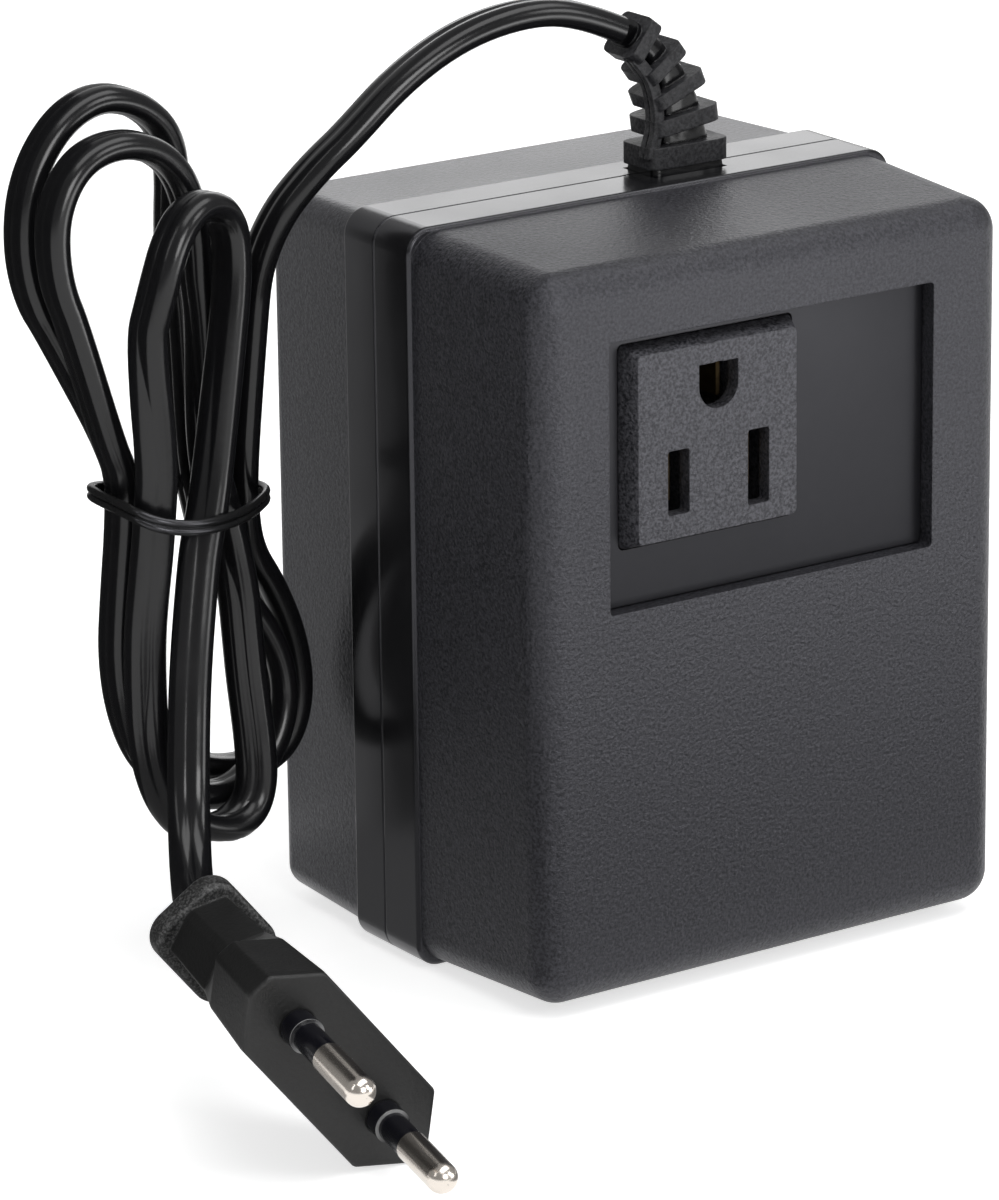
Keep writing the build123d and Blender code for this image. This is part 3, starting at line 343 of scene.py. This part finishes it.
def loft(mesh_data, rings, closed=False):
    """Skins a run of rings; an open run gets end faces."""
    layer = mesh_data.loops.layers.uv.verify()
    made = [[mesh_data.verts.new(point) for point in ring] for ring in rings]
    count = len(rings[0])
    centres = [sum(ring, Vector()) / count for ring in rings]
    along = [0.0]
    for first, second in zip(centres, centres[1:]):
        along.append(along[-1] + (second - first).length)
    pairs = list(zip(range(len(made)), range(1, len(made))))
    if closed:
        pairs.append((len(made) - 1, 0))
    for low, high in pairs:
        for side in range(count):
            after = (side + 1) % count
            face = mesh_data.faces.new((made[low][side], made[low][after], made[high][after],
                                        made[high][side]))
            for loop, u, v in zip(face.loops, (low, low, high, high), (side, side + 1, side + 1, side)):
                loop[layer].uv = (along[u], v / count)
    if not closed:
        mesh_data.faces.new(list(reversed(made[0])))
        mesh_data.faces.new(made[-1])


# %% Section of the flat lead
LEAD_WIDTH = 5.6 * MM
LEAD_THICK = 3.6 * MM
GROOVE_DEPTH = 0.16 * MM
GROOVE_SHARE = 0.35
ARC_STEPS = 7


def lead_section():
    """Outline of the flat lead: (across, through) pairs, with a shallow groove on each broad face."""
    radius = LEAD_THICK / 2
    offset = LEAD_WIDTH / 2 - radius
    outline = []
    for side in (1, -1):
        for step in range(ARC_STEPS + 1):
            angle = math.pi * (step / ARC_STEPS - 0.5)
            outline.append((side * (offset + radius * math.cos(angle)), side * radius * math.sin(angle)))
        outline.append((side * offset * GROOVE_SHARE, side * radius))
        outline.append((0.0, side * (radius - GROOVE_DEPTH)))
        outline.append((-side * offset * GROOVE_SHARE, side * radius))
    return outline


lead_outline = lead_section()
lead_rings = []
for index, (place, across) in enumerate(zip(lead_line, lead_across)):
    before = lead_line[max(index - 1, 0)]
    after = lead_line[min(index + 1, len(lead_line) - 1)]
    tangent = (after - before).normalized()
    wide = (across - tangent * across.dot(tangent)).normalized()
    thin = tangent.cross(wide)
    lead_rings.append([place + wide * a + thin * t for a, t in lead_outline])
mesh_data = bmesh.new()
loft(mesh_data, lead_rings)
lead = finish_mesh("flat_lead", mesh_data, math.radians(50))
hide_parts("cord_feed", "cord_hank", "cord_tail")
print("lead faces:", len(lead.data.polygons))

# %% [markdown]
# ## The strain relief
#
# The boot is moulded onto the lead: a soft core that narrows towards its tip, five slabs that stand out
# from it so that it can bend without kinking, and a double web up the front left edge that ties the slabs
# together. The slabs repeat, so Geometry Nodes make them: each is one rounded block, placed on a point
# that carries its size and its turn.

# %% Axis of the boot
BOOT_FOOT = Vector((9.1, 3.75, 101.0)) * MM
BOOT_STRAIGHT = 4.5 * MM
BOOT_RADIUS = 17.5 * MM


def boot_frame(along):
    """Point on the boot's axis, its sideways direction and its turn to the left."""
    bend = max(0.0, along - BOOT_STRAIGHT) / BOOT_RADIUS
    rise = min(along, BOOT_STRAIGHT) + BOOT_RADIUS * math.sin(bend)
    place = BOOT_FOOT + Vector((-BOOT_RADIUS * (1 - math.cos(bend)), 0, rise))
    return place, Vector((math.cos(bend), 0, math.sin(bend))), bend


SLABS = [  # middle along the axis, width, depth, thickness, all in millimetres
    (2.4, 12.9, 7.4, 2.9),
    (6.9, 10.5, 7.2, 2.2),
    (11.3, 8.7, 7.0, 2.0),
    (15.7, 7.0, 6.8, 1.9),
    (20.5, 6.2, 6.7, 2.0),
]

# %% Node tree for the slabs
def slab_tree(name):
    """Places one rounded block on each point, as large and as turned as the point says."""
    tree = bpy.data.node_groups.new(name, "GeometryNodeTree")
    tree.interface.new_socket("Geometry", in_out="INPUT", socket_type="NodeSocketGeometry")
    tree.interface.new_socket("Corner Radius", in_out="INPUT", socket_type="NodeSocketFloat")
    tree.interface.new_socket("Corner Steps", in_out="INPUT", socket_type="NodeSocketInt")
    tree.interface.new_socket("Finish", in_out="INPUT", socket_type="NodeSocketMaterial")
    tree.interface.new_socket("Geometry", in_out="OUTPUT", socket_type="NodeSocketGeometry")
    given = add_node(tree, "NodeGroupInput").outputs
    size = add_node(tree, "GeometryNodeInputNamedAttribute", {"Name": "size"},
                    data_type="FLOAT_VECTOR").outputs["Attribute"]
    turn = add_node(tree, "GeometryNodeInputNamedAttribute", {"Name": "turn"},
                    data_type="FLOAT_VECTOR").outputs["Attribute"]
    outline = add_node(tree, "GeometryNodeCurvePrimitiveQuadrilateral", {"Width": 1.0, "Height": 1.0})
    rounded = add_node(tree, "GeometryNodeFilletCurve", {
        "Curve": outline.outputs[0], "Radius": given["Corner Radius"], "Count": given["Corner Steps"],
        "Limit Radius": True}, mode="POLY")
    face = add_node(tree, "GeometryNodeFillCurve", {"Curve": rounded.outputs[0]}, mode="NGONS")
    raised = add_node(tree, "GeometryNodeExtrudeMesh", {
        "Mesh": face.outputs[0], "Offset": (0.0, 0.0, 1.0), "Offset Scale": 1.0}, mode="FACES")
    under = add_node(tree, "GeometryNodeFlipFaces", {"Mesh": face.outputs[0]})
    closed = add_node(tree, "GeometryNodeJoinGeometry")
    tree.links.new(raised.outputs["Mesh"], closed.inputs[0])
    tree.links.new(under.outputs[0], closed.inputs[0])
    merged = add_node(tree, "GeometryNodeMergeByDistance", {"Geometry": closed.outputs[0],
                                                            "Distance": 1e-5})
    centred = add_node(tree, "GeometryNodeTransform", {"Geometry": merged.outputs[0],
                                                       "Translation": (0.0, 0.0, -0.5)})
    rotation = add_node(tree, "FunctionNodeEulerToRotation", {0: turn})
    placed = add_node(tree, "GeometryNodeInstanceOnPoints", {
        "Points": given["Geometry"], "Instance": centred.outputs[0], "Rotation": rotation.outputs[0],
        "Scale": size})
    solid = add_node(tree, "GeometryNodeRealizeInstances", {"Geometry": placed.outputs[0]})
    painted = add_node(tree, "GeometryNodeSetMaterial", {"Geometry": solid.outputs[0],
                                                         "Material": given["Finish"]})
    add_node(tree, "NodeGroupOutput", {0: painted.outputs[0]})
    return tree


def grow(name, points, attributes, tree, values):
    """Runs a node tree on loose points that carry attributes, and gives the plain mesh it makes."""
    seeds = bpy.data.meshes.new(name + "_seeds")
    seeds.from_pydata([tuple(point) for point in points], [], [])
    for label, rows in attributes.items():
        attribute = seeds.attributes.new(label, "FLOAT_VECTOR", "POINT")
        attribute.data.foreach_set("vector", [value for row in rows for value in row])
    holder = bpy.data.objects.new(name + "_seeds", seeds)
    bpy.context.scene.collection.objects.link(holder)
    modifier = holder.modifiers.new("grow", "NODES")
    modifier.node_group = tree
    for item in tree.interface.items_tree:
        if item.in_out == "INPUT" and item.name in values:
            modifier[item.identifier] = values[item.name]
    holder.update_tag()
    graph = bpy.context.evaluated_depsgraph_get()
    mesh = bpy.data.meshes.new_from_object(holder.evaluated_get(graph))
    holder.modifiers.remove(modifier)
    bpy.data.objects.remove(holder)
    return mesh


# %% [markdown]
# ## Plastics and metals
#
# The plastics are all black, so they differ by their skin. A moulded part copies its mould: the shells
# were spark-eroded, which leaves grains of about half a millimetre; the band where they meet was
# polished; the plate is smooth satin. Each finish is one Principled shader whose colour, roughness and
# bump come from noise in Object coordinates, in metres, so a noise scale of 2000 means half a
# millimetre.

# %% Material helpers
def new_finish(name, metallic=0.0, specular=0.5):
    """A material with one Principled shader, and its object coordinates."""
    material = bpy.data.materials.new(name)
    material.use_nodes = True
    tree = material.node_tree
    tree.nodes.clear()
    skin = add_node(tree, "ShaderNodeBsdfPrincipled", {"Metallic": metallic,
                                                       "Specular IOR Level": specular})
    add_node(tree, "ShaderNodeOutputMaterial", {"Surface": skin.outputs[0]})
    place = add_node(tree, "ShaderNodeTexCoord").outputs["Object"]
    return material, tree, skin, place


def noise(tree, place, scale, detail=2.0, roughness=0.5):
    """Fractal noise, from 0 to 1, of about that many grains to the metre."""
    return add_node(tree, "ShaderNodeTexNoise", {"Vector": place, "Scale": scale, "Detail": detail,
                                                 "Roughness": roughness}).outputs[0]


def spread(tree, value, low, high, least, most):
    """Stretches low..high of a value to least..most, and holds it there outside."""
    return add_node(tree, "ShaderNodeMapRange", {"Value": value, "From Min": low, "From Max": high,
                                                 "To Min": least, "To Max": most}).outputs[0]


def blend_colour(tree, share, first, second):
    """A colour between two others."""
    mix = add_node(tree, "ShaderNodeMix", {"Factor": share}, data_type="RGBA")
    for socket, value in zip([s for s in mix.inputs if s.type == "RGBA"], (first, second)):
        if isinstance(value, bpy.types.NodeSocket):
            tree.links.new(value, socket)
        else:
            socket.default_value = (*value, 1.0)
    return [s for s in mix.outputs if s.type == "RGBA"][0]


def bump(tree, height, strength, distance, normal=None):
    """A bump from a height, over a rounded edge if one is given."""
    inputs = {"Height": height, "Strength": strength, "Distance": distance}
    if normal is not None:
        inputs["Normal"] = normal
    return add_node(tree, "ShaderNodeBump", inputs).outputs[0]


def wire_up(tree, skin, colour, roughness, normal):
    """Links what varies over the surface."""
    for name, value in (("Base Color", colour), ("Roughness", roughness), ("Normal", normal)):
        tree.links.new(value, skin.inputs[name])


# %% Case plastic: spark texture on the walls, polished band
BAND_BACK = 11.05 * MM
BAND_FRONT = -4.25 * MM
BAND_SOFTNESS = 0.08 * MM
BAND_COLOUR = (0.010, 0.010, 0.011)
REAR_SMOOTHER = 0.13
REAR_SHALLOWER = 0.5
COOL_TINT = (0.92, 0.92, 1.0, 1.0)


def case_finish(name, dark, light, has_band):
    """Spark-eroded plastic, with a polished band where the two shells meet if it has one."""
    material, tree, skin, place = new_finish(name)
    skin.inputs["Specular Tint"].default_value = COOL_TINT
    grain = noise(tree, place, 1700, 3.0, 0.65)
    speck = spread(tree, noise(tree, place, 2400, 2.0, 0.6), 0.36, 0.64, 0.0, 1.0)
    broad = noise(tree, place, 28, 2.0)
    colour = blend_colour(tree, speck, dark, light)
    rough = spread(tree, broad, 0.3, 0.7, 0.40, 0.48)
    height = grain
    if has_band:
        depth = add_node(tree, "ShaderNodeSeparateXYZ", {0: place}).outputs["Y"]
        front = spread(tree, depth, BAND_FRONT - BAND_SOFTNESS, BAND_FRONT + BAND_SOFTNESS, 0.0, 1.0)
        rear = spread(tree, depth, BAND_BACK - BAND_SOFTNESS, BAND_BACK + BAND_SOFTNESS, 0.0, 1.0)
        band = add_sum(tree, "SUBTRACT", front, rear)
        colour = blend_colour(tree, band, colour, BAND_COLOUR)
        polished = spread(tree, noise(tree, place, 60, 2.0), 0.3, 0.7, 0.16, 0.24)
        wall = add_sum(tree, "SUBTRACT", 1.0, band)
        worn = add_sum(tree, "MULTIPLY", rear, REAR_SMOOTHER)
        rough = add_sum(tree, "SUBTRACT", rough, worn)
        rough = add_sum(tree, "ADD", add_sum(tree, "MULTIPLY", rough, wall),
                        add_sum(tree, "MULTIPLY", polished, band))
        shallow = add_sum(tree, "SUBTRACT", wall, add_sum(tree, "MULTIPLY", rear, REAR_SHALLOWER))
        height = add_sum(tree, "MULTIPLY", grain, shallow)
    edge = add_node(tree, "ShaderNodeBevel", {"Radius": 0.25 * MM}, samples=4).outputs[0]
    wire_up(tree, skin, colour, rough, bump(tree, height, 0.90, 0.19 * MM, edge))
    return material


# %% Lead jacket: glossy extruded plastic
def jacket_finish():
    """Black plastic that came smooth out of the die, with faint waves."""
    material, tree, skin, place = new_finish("lead_jacket", specular=0.38)
    soft = noise(tree, place, 45, 2.0)
    fine = noise(tree, place, 700, 2.0)
    rough = spread(tree, soft, 0.3, 0.7, 0.17, 0.26)
    colour = blend_colour(tree, fine, (0.006, 0.006, 0.007), (0.010, 0.010, 0.011))
    wire_up(tree, skin, colour, rough, bump(tree, add_sum(tree, "ADD", soft, fine), 0.10, 0.12 * MM))
    return material


# %% Plain moulded plastics
def moulded_finish(name, dark, light, grain_scale, grain_strength, rough_low, rough_high, specular=0.5):
    """Plain moulded plastic with one grain."""
    material, tree, skin, place = new_finish(name, specular=specular)
    skin.inputs["Specular Tint"].default_value = COOL_TINT
    grain = noise(tree, place, grain_scale, 3.0, 0.55)
    broad = noise(tree, place, 90, 2.0)
    colour = blend_colour(tree, grain, dark, light)
    edge = add_node(tree, "ShaderNodeBevel", {"Radius": 0.15 * MM}, samples=4).outputs[0]
    wire_up(tree, skin, colour, spread(tree, broad, 0.3, 0.7, rough_low, rough_high),
            bump(tree, grain, grain_strength, 0.1 * MM, edge))
    return material


# %% Metals and windings
def metal_finish(name, colour, tint, rough_low, rough_high, grain_scale=900):
    """Bare or plated metal whose colour drifts in patches."""
    material, tree, skin, place = new_finish(name, metallic=1.0)
    patch = noise(tree, place, 160, 3.0)
    fine = noise(tree, place, grain_scale, 2.0)
    wire_up(tree, skin, blend_colour(tree, patch, colour, tint),
            spread(tree, fine, 0.3, 0.7, rough_low, rough_high), bump(tree, fine, 0.08, 0.05 * MM))
    return material


# %% Soft moulding of the boot: grained slabs, and a core that the mould left glossy
CORE_ROUGHNESS = 0.18
CORE_RIPPLE = 3.5


def boot_finish():
    """Grained where the faces say 0 for glossy, smooth and shining where they say 1."""
    material, tree, skin, place = new_finish("lead_rubber", specular=0.28)
    grain = noise(tree, place, 1900, 3.0, 0.6)
    patch = noise(tree, place, 300, 1.0)
    gloss = add_node(tree, "ShaderNodeAttribute", attribute_name="glossy").outputs["Fac"]
    dull = add_sum(tree, "SUBTRACT", 1.0, gloss)
    colour = blend_colour(tree, spread(tree, grain, 0.35, 0.75, 0.0, 1.0), (0.010, 0.010, 0.012),
                          (0.060, 0.060, 0.065))
    colour = blend_colour(tree, gloss, colour, (0.004, 0.004, 0.005))
    rough = add_sum(tree, "ADD", add_sum(tree, "MULTIPLY", gloss, CORE_ROUGHNESS),
                    add_sum(tree, "MULTIPLY", dull, spread(tree, patch, 0.3, 0.7, 0.40, 0.52)))
    height = add_sum(tree, "ADD", add_sum(tree, "MULTIPLY", grain, dull),
                     add_sum(tree, "MULTIPLY", patch, add_sum(tree, "MULTIPLY", gloss, CORE_RIPPLE)))
    edge = add_node(tree, "ShaderNodeBevel", {"Radius": 0.3 * MM}, samples=4).outputs[0]
    wire_up(tree, skin, colour, rough, bump(tree, height, 0.5, 0.16 * MM, edge))
    return material


# %% Plug: satin body, speckled flange, glossy sleeves with a painted highlight ring where the collar ends
PLUG_FACE = Vector((-86.77, -59.4, 14.51)) * MM
PIN_DIRECTION = Vector((-0.1388, -0.983, -0.1206))
FLANGE_AT = -36.3 * MM
SLEEVE_AT = 0.05 * MM
# The pale ring is a painted highlight: the lit edge of each pin's collar, painted on the sleeve as a light
# band.
HIGHLIGHT_RING_AT = 2.75 * MM
HIGHLIGHT_RING_HALF, HIGHLIGHT_RING_FADE = 0.03 * MM, 0.08 * MM
RING_HIGHLIGHT_COLOUR = (0.32, 0.32, 0.32)
SLEEVE_SMOOTHER = 0.24
MASK_SOFTNESS = 0.2 * MM


def plug_finish():
    """Tells flange, body, sleeves and the painted highlight ring at the collar's end apart by their distance
    ahead of the plug's face.
    """
    material, tree, skin, place = new_finish("plug_plastic", specular=0.40)
    offset = add_node(tree, "ShaderNodeVectorMath", {0: place, 1: PLUG_FACE},
                      operation="SUBTRACT").outputs[0]
    ahead = add_node(tree, "ShaderNodeVectorMath", {0: offset, 1: PIN_DIRECTION},
                     operation="DOT_PRODUCT").outputs["Value"]
    flange = spread(tree, ahead, FLANGE_AT - MASK_SOFTNESS, FLANGE_AT + MASK_SOFTNESS, 1.0, 0.0)
    sleeve = spread(tree, ahead, SLEEVE_AT, MASK_SOFTNESS, 0.0, 1.0)
    from_highlight_ring = add_sum(tree, "ABSOLUTE", add_sum(tree, "SUBTRACT", ahead, HIGHLIGHT_RING_AT), 0.0)
    ring = spread(tree, from_highlight_ring, HIGHLIGHT_RING_HALF, HIGHLIGHT_RING_FADE, 1.0, 0.0)
    grain = noise(tree, place, 1700, 3.0, 0.6)
    fleck = spread(tree, noise(tree, place, 3200, 2.0, 0.6), 0.42, 0.66, 0.0, 1.0)
    colour = blend_colour(tree, grain, (0.007, 0.007, 0.007), (0.016, 0.016, 0.016))
    colour = blend_colour(tree, add_sum(tree, "MULTIPLY", flange, fleck), colour, (0.11, 0.11, 0.11))
    colour = blend_colour(tree, sleeve, colour, (0.005, 0.005, 0.008))
    # Painted highlight: a pale band where each collar ends stands in for the collar's lit edge.
    colour = blend_colour(tree, ring, colour, RING_HIGHLIGHT_COLOUR)
    rough = spread(tree, noise(tree, place, 90, 2.0), 0.3, 0.7, 0.38, 0.48)
    rough = add_sum(tree, "SUBTRACT", rough, add_sum(tree, "MULTIPLY", sleeve, SLEEVE_SMOOTHER))
    edge = add_node(tree, "ShaderNodeBevel", {"Radius": 0.4 * MM}, samples=4).outputs[0]
    height = add_sum(tree, "MULTIPLY", grain, add_sum(tree, "SUBTRACT", 1.0, sleeve))
    wire_up(tree, skin, colour, rough, bump(tree, height, 0.45, 0.12 * MM, edge))
    return material


finishes = {
    "case_plastic": case_finish("case_plastic", (0.008, 0.008, 0.010), (0.046, 0.046, 0.053), True),
    "plate_plastic": moulded_finish("plate_plastic", (0.009, 0.009, 0.011), (0.013, 0.013, 0.015),
                                    500, 0.03, 0.28, 0.34, 0.24),
    "outlet_plastic": case_finish("outlet_plastic", (0.006, 0.006, 0.008), (0.082, 0.082, 0.092), False),
    "inner_plastic": moulded_finish("inner_plastic", (0.55, 0.52, 0.45), (0.62, 0.59, 0.52),
                                    800, 0.05, 0.40, 0.50),
    # The brass contacts are painted much darker than brass: painted shade for their place deep inside the
    # outlet's holes.
    "contact_brass": metal_finish("contact_brass", (0.14, 0.10, 0.05), (0.10, 0.07, 0.035), 0.40, 0.55),
    "zinc_steel": metal_finish("zinc_steel", (0.62, 0.63, 0.65), (0.50, 0.51, 0.52), 0.28, 0.42),
    "core_steel": metal_finish("core_steel", (0.22, 0.22, 0.24), (0.32, 0.31, 0.31), 0.40, 0.55),
    "winding_copper": metal_finish("winding_copper", (0.60, 0.24, 0.09), (0.70, 0.30, 0.12), 0.20, 0.32),
    "tape_paper": moulded_finish("tape_paper", (0.70, 0.60, 0.20), (0.78, 0.68, 0.26),
                                 300, 0.10, 0.50, 0.60),
    "fuse_metal": metal_finish("fuse_metal", (0.70, 0.70, 0.68), (0.60, 0.60, 0.58), 0.25, 0.40),
    "wire_plastic": moulded_finish("wire_plastic", (0.03, 0.03, 0.22), (0.04, 0.04, 0.30),
                                   600, 0.05, 0.30, 0.38),
    "lead_rubber": boot_finish(),
    "lead_jacket": jacket_finish(),
    "tie_plastic": moulded_finish("tie_plastic", (0.010, 0.010, 0.010), (0.016, 0.016, 0.016),
                                  600, 0.05, 0.22, 0.30),
    "plug_plastic": plug_finish(),
    "pin_nickel": metal_finish("pin_nickel", (0.76, 0.71, 0.65), (0.66, 0.60, 0.54), 0.17, 0.25, 110),
}
print("finishes:", len(finishes))

# %% [markdown]
# Every CAD node takes the finish of the slot that the record gives it. The node's mesh is left as it is;
# only its material slots change.

# %% Dress the CAD nodes
slot_of = {part["node"]: part["material_slot"] for part in frame["record"]["subparts"]}
for name, node in nodes.items():
    node.data.materials.clear()
    node.data.materials.append(finishes[slot_of[name]])
lead.data.materials.append(finishes["lead_jacket"])

# %% Build the boot
CORNER_STEPS = 4
SLAB_CORNER = 0.16  # as a share of the slab's own width and depth

slab_seeds, slab_sizes, slab_turns = [], [], []
for along, width, depth, thick in SLABS:
    place, _, bend = boot_frame(along * MM)
    slab_seeds.append(place)
    slab_sizes.append((width * MM, depth * MM, thick * MM))
    slab_turns.append((0.0, -bend, 0.0))
slabs_mesh = grow("boot_slabs", slab_seeds, {"size": slab_sizes, "turn": slab_turns},
                  slab_tree("boot_slabs"),
                  {"Corner Radius": SLAB_CORNER, "Corner Steps": CORNER_STEPS,
                   "Finish": finishes["lead_rubber"]})


def rounded_outline(width, depth, corner):
    """Points round a rectangle with rounded corners."""
    outline = []
    for quarter, (sx, sy) in enumerate(((1, 1), (-1, 1), (-1, -1), (1, -1))):
        for step in range(CORNER_STEPS + 1):
            angle = math.pi / 2 * (quarter + step / CORNER_STEPS)
            outline.append((sx * (width / 2 - corner) + corner * math.cos(angle),
                            sy * (depth / 2 - corner) + corner * math.sin(angle)))
    return outline


CORE_STATIONS = [  # along the axis, shift to the right, width, depth, corner, in millimetres
    (-2.0, 0.0, 11.7, 7.2, 1.2), (0.0, 0.0, 11.7, 7.2, 1.2), (1.1, 0.0, 11.7, 6.8, 1.4),
    (1.2, 0.4, 8.8, 4.6, 1.4), (4.4, 0.4, 7.8, 4.4, 1.4), (9.0, 0.35, 6.0, 4.3, 1.4),
    (13.3, 0.3, 4.6, 4.3, 1.4), (17.8, 0.2, 3.7, 4.4, 1.4), (22.2, 0.0, 3.8, 5.2, 1.6),
]
mesh_data = bmesh.new()
mesh_data.from_mesh(slabs_mesh)
glossy = mesh_data.faces.layers.float.new("glossy")
slab_faces = set(mesh_data.faces)
rings = []
for along, shift, width, depth, corner in CORE_STATIONS:
    place, sideways, _ = boot_frame(along * MM)
    rings.append([place + sideways * ((a + shift) * MM) + Vector((0, b * MM, 0))
                  for a, b in rounded_outline(width, depth, corner)])
loft(mesh_data, rings)
for face in mesh_data.faces:
    face[glossy] = 0.0 if face in slab_faces else 1.0

WEB_WIDTH, WEB_GAP, WEB_PROUD, WEB_DEEP = 0.95 * MM, 0.26 * MM, 0.20 * MM, 1.6 * MM
WEB_INSET = 0.55 * MM
WEB_STEPS = 24
slab_lines = [[row[column] * MM for row in SLABS] for column in range(3)]


def along_slabs(along, column):
    """A slab's size read between the slabs."""
    places = slab_lines[0]
    values = slab_lines[column]
    for low, high, start, end in zip(places, places[1:], values, values[1:]):
        if along <= high:
            share = max(0.0, (along - low) / (high - low))
            return start + (end - start) * share
    return values[-1]


for strip in range(2):
    rings = []
    for step in range(WEB_STEPS + 1):
        along = slab_lines[0][0] + (slab_lines[0][-1] - slab_lines[0][0]) * step / WEB_STEPS
        place, sideways, _ = boot_frame(along)
        left = -along_slabs(along, 1) / 2 - WEB_PROUD
        front = -along_slabs(along, 2) / 2 + WEB_INSET + strip * (WEB_WIDTH + WEB_GAP)
        box = ((left, front), (left + WEB_DEEP, front), (left + WEB_DEEP, front + WEB_WIDTH),
               (left, front + WEB_WIDTH))
        rings.append([place + sideways * a + Vector((0, b, 0)) for a, b in box])
    loft(mesh_data, rings)
boot = finish_mesh("strain_relief_boot", mesh_data, math.radians(35))
boot.data.materials.clear()  # this also puts the slabs' faces back on the first slot
boot.data.materials.append(finishes["lead_rubber"])
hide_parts("strain_relief")

# %% [markdown]
# ## The tie
#
# A coated wire holds the hank together, wound twice round it just under the loops. It is drawn as two
# closed rings, one above the other, each a smooth loop round the bundle.

# %% Tie wires
TIE_RADIUS = 0.55 * MM
TIE_LIFT = 0.52 * MM
TIE_STEPS = 6
TIE_SIDES = 12
TIE_LOOP = [  # round the bundle, in millimetres, from the left end along the front
    (-75.9, 8.0, 67.9), (-75.4, 4.2, 67.4), (-73.2, 2.2, 66.2), (-69.6, 1.4, 65.4), (-66.0, 1.6, 65.0),
    (-62.2, 2.6, 64.9), (-58.4, 4.6, 64.8), (-54.8, 7.6, 64.6), (-51.2, 11.4, 64.2),
    (-49.0, 15.6, 63.6), (-48.8, 19.4, 63.2), (-51.4, 22.0, 63.4), (-56.4, 22.6, 63.8),
    (-62.0, 22.6, 64.6), (-67.6, 22.0, 65.6), (-72.2, 20.4, 66.6), (-75.0, 16.6, 67.6),
    (-76.0, 12.2, 68.0),
]


mesh_data = bmesh.new()
for rise in (-TIE_LIFT, TIE_LIFT):
    loop_points = [Vector(point) * MM + Vector((0, 0, rise)) for point in TIE_LOOP]
    line = spline_line("tie_loop", loop_points, TIE_STEPS, closed=True)
    rings = []
    for index, place in enumerate(line):
        tangent = (line[(index + 1) % len(line)] - line[index - 1]).normalized()
        side = tangent.cross(Vector((0, 0, 1))).normalized()
        up = side.cross(tangent)
        rings.append([place + (side * math.cos(a) + up * math.sin(a)) * TIE_RADIUS
                      for a in (math.tau * step / TIE_SIDES for step in range(TIE_SIDES))])
    loft(mesh_data, rings, closed=True)
tie = finish_mesh("wire_tie", mesh_data, math.radians(60))
tie.data.materials.append(finishes["tie_plastic"])
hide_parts("cord_tie")
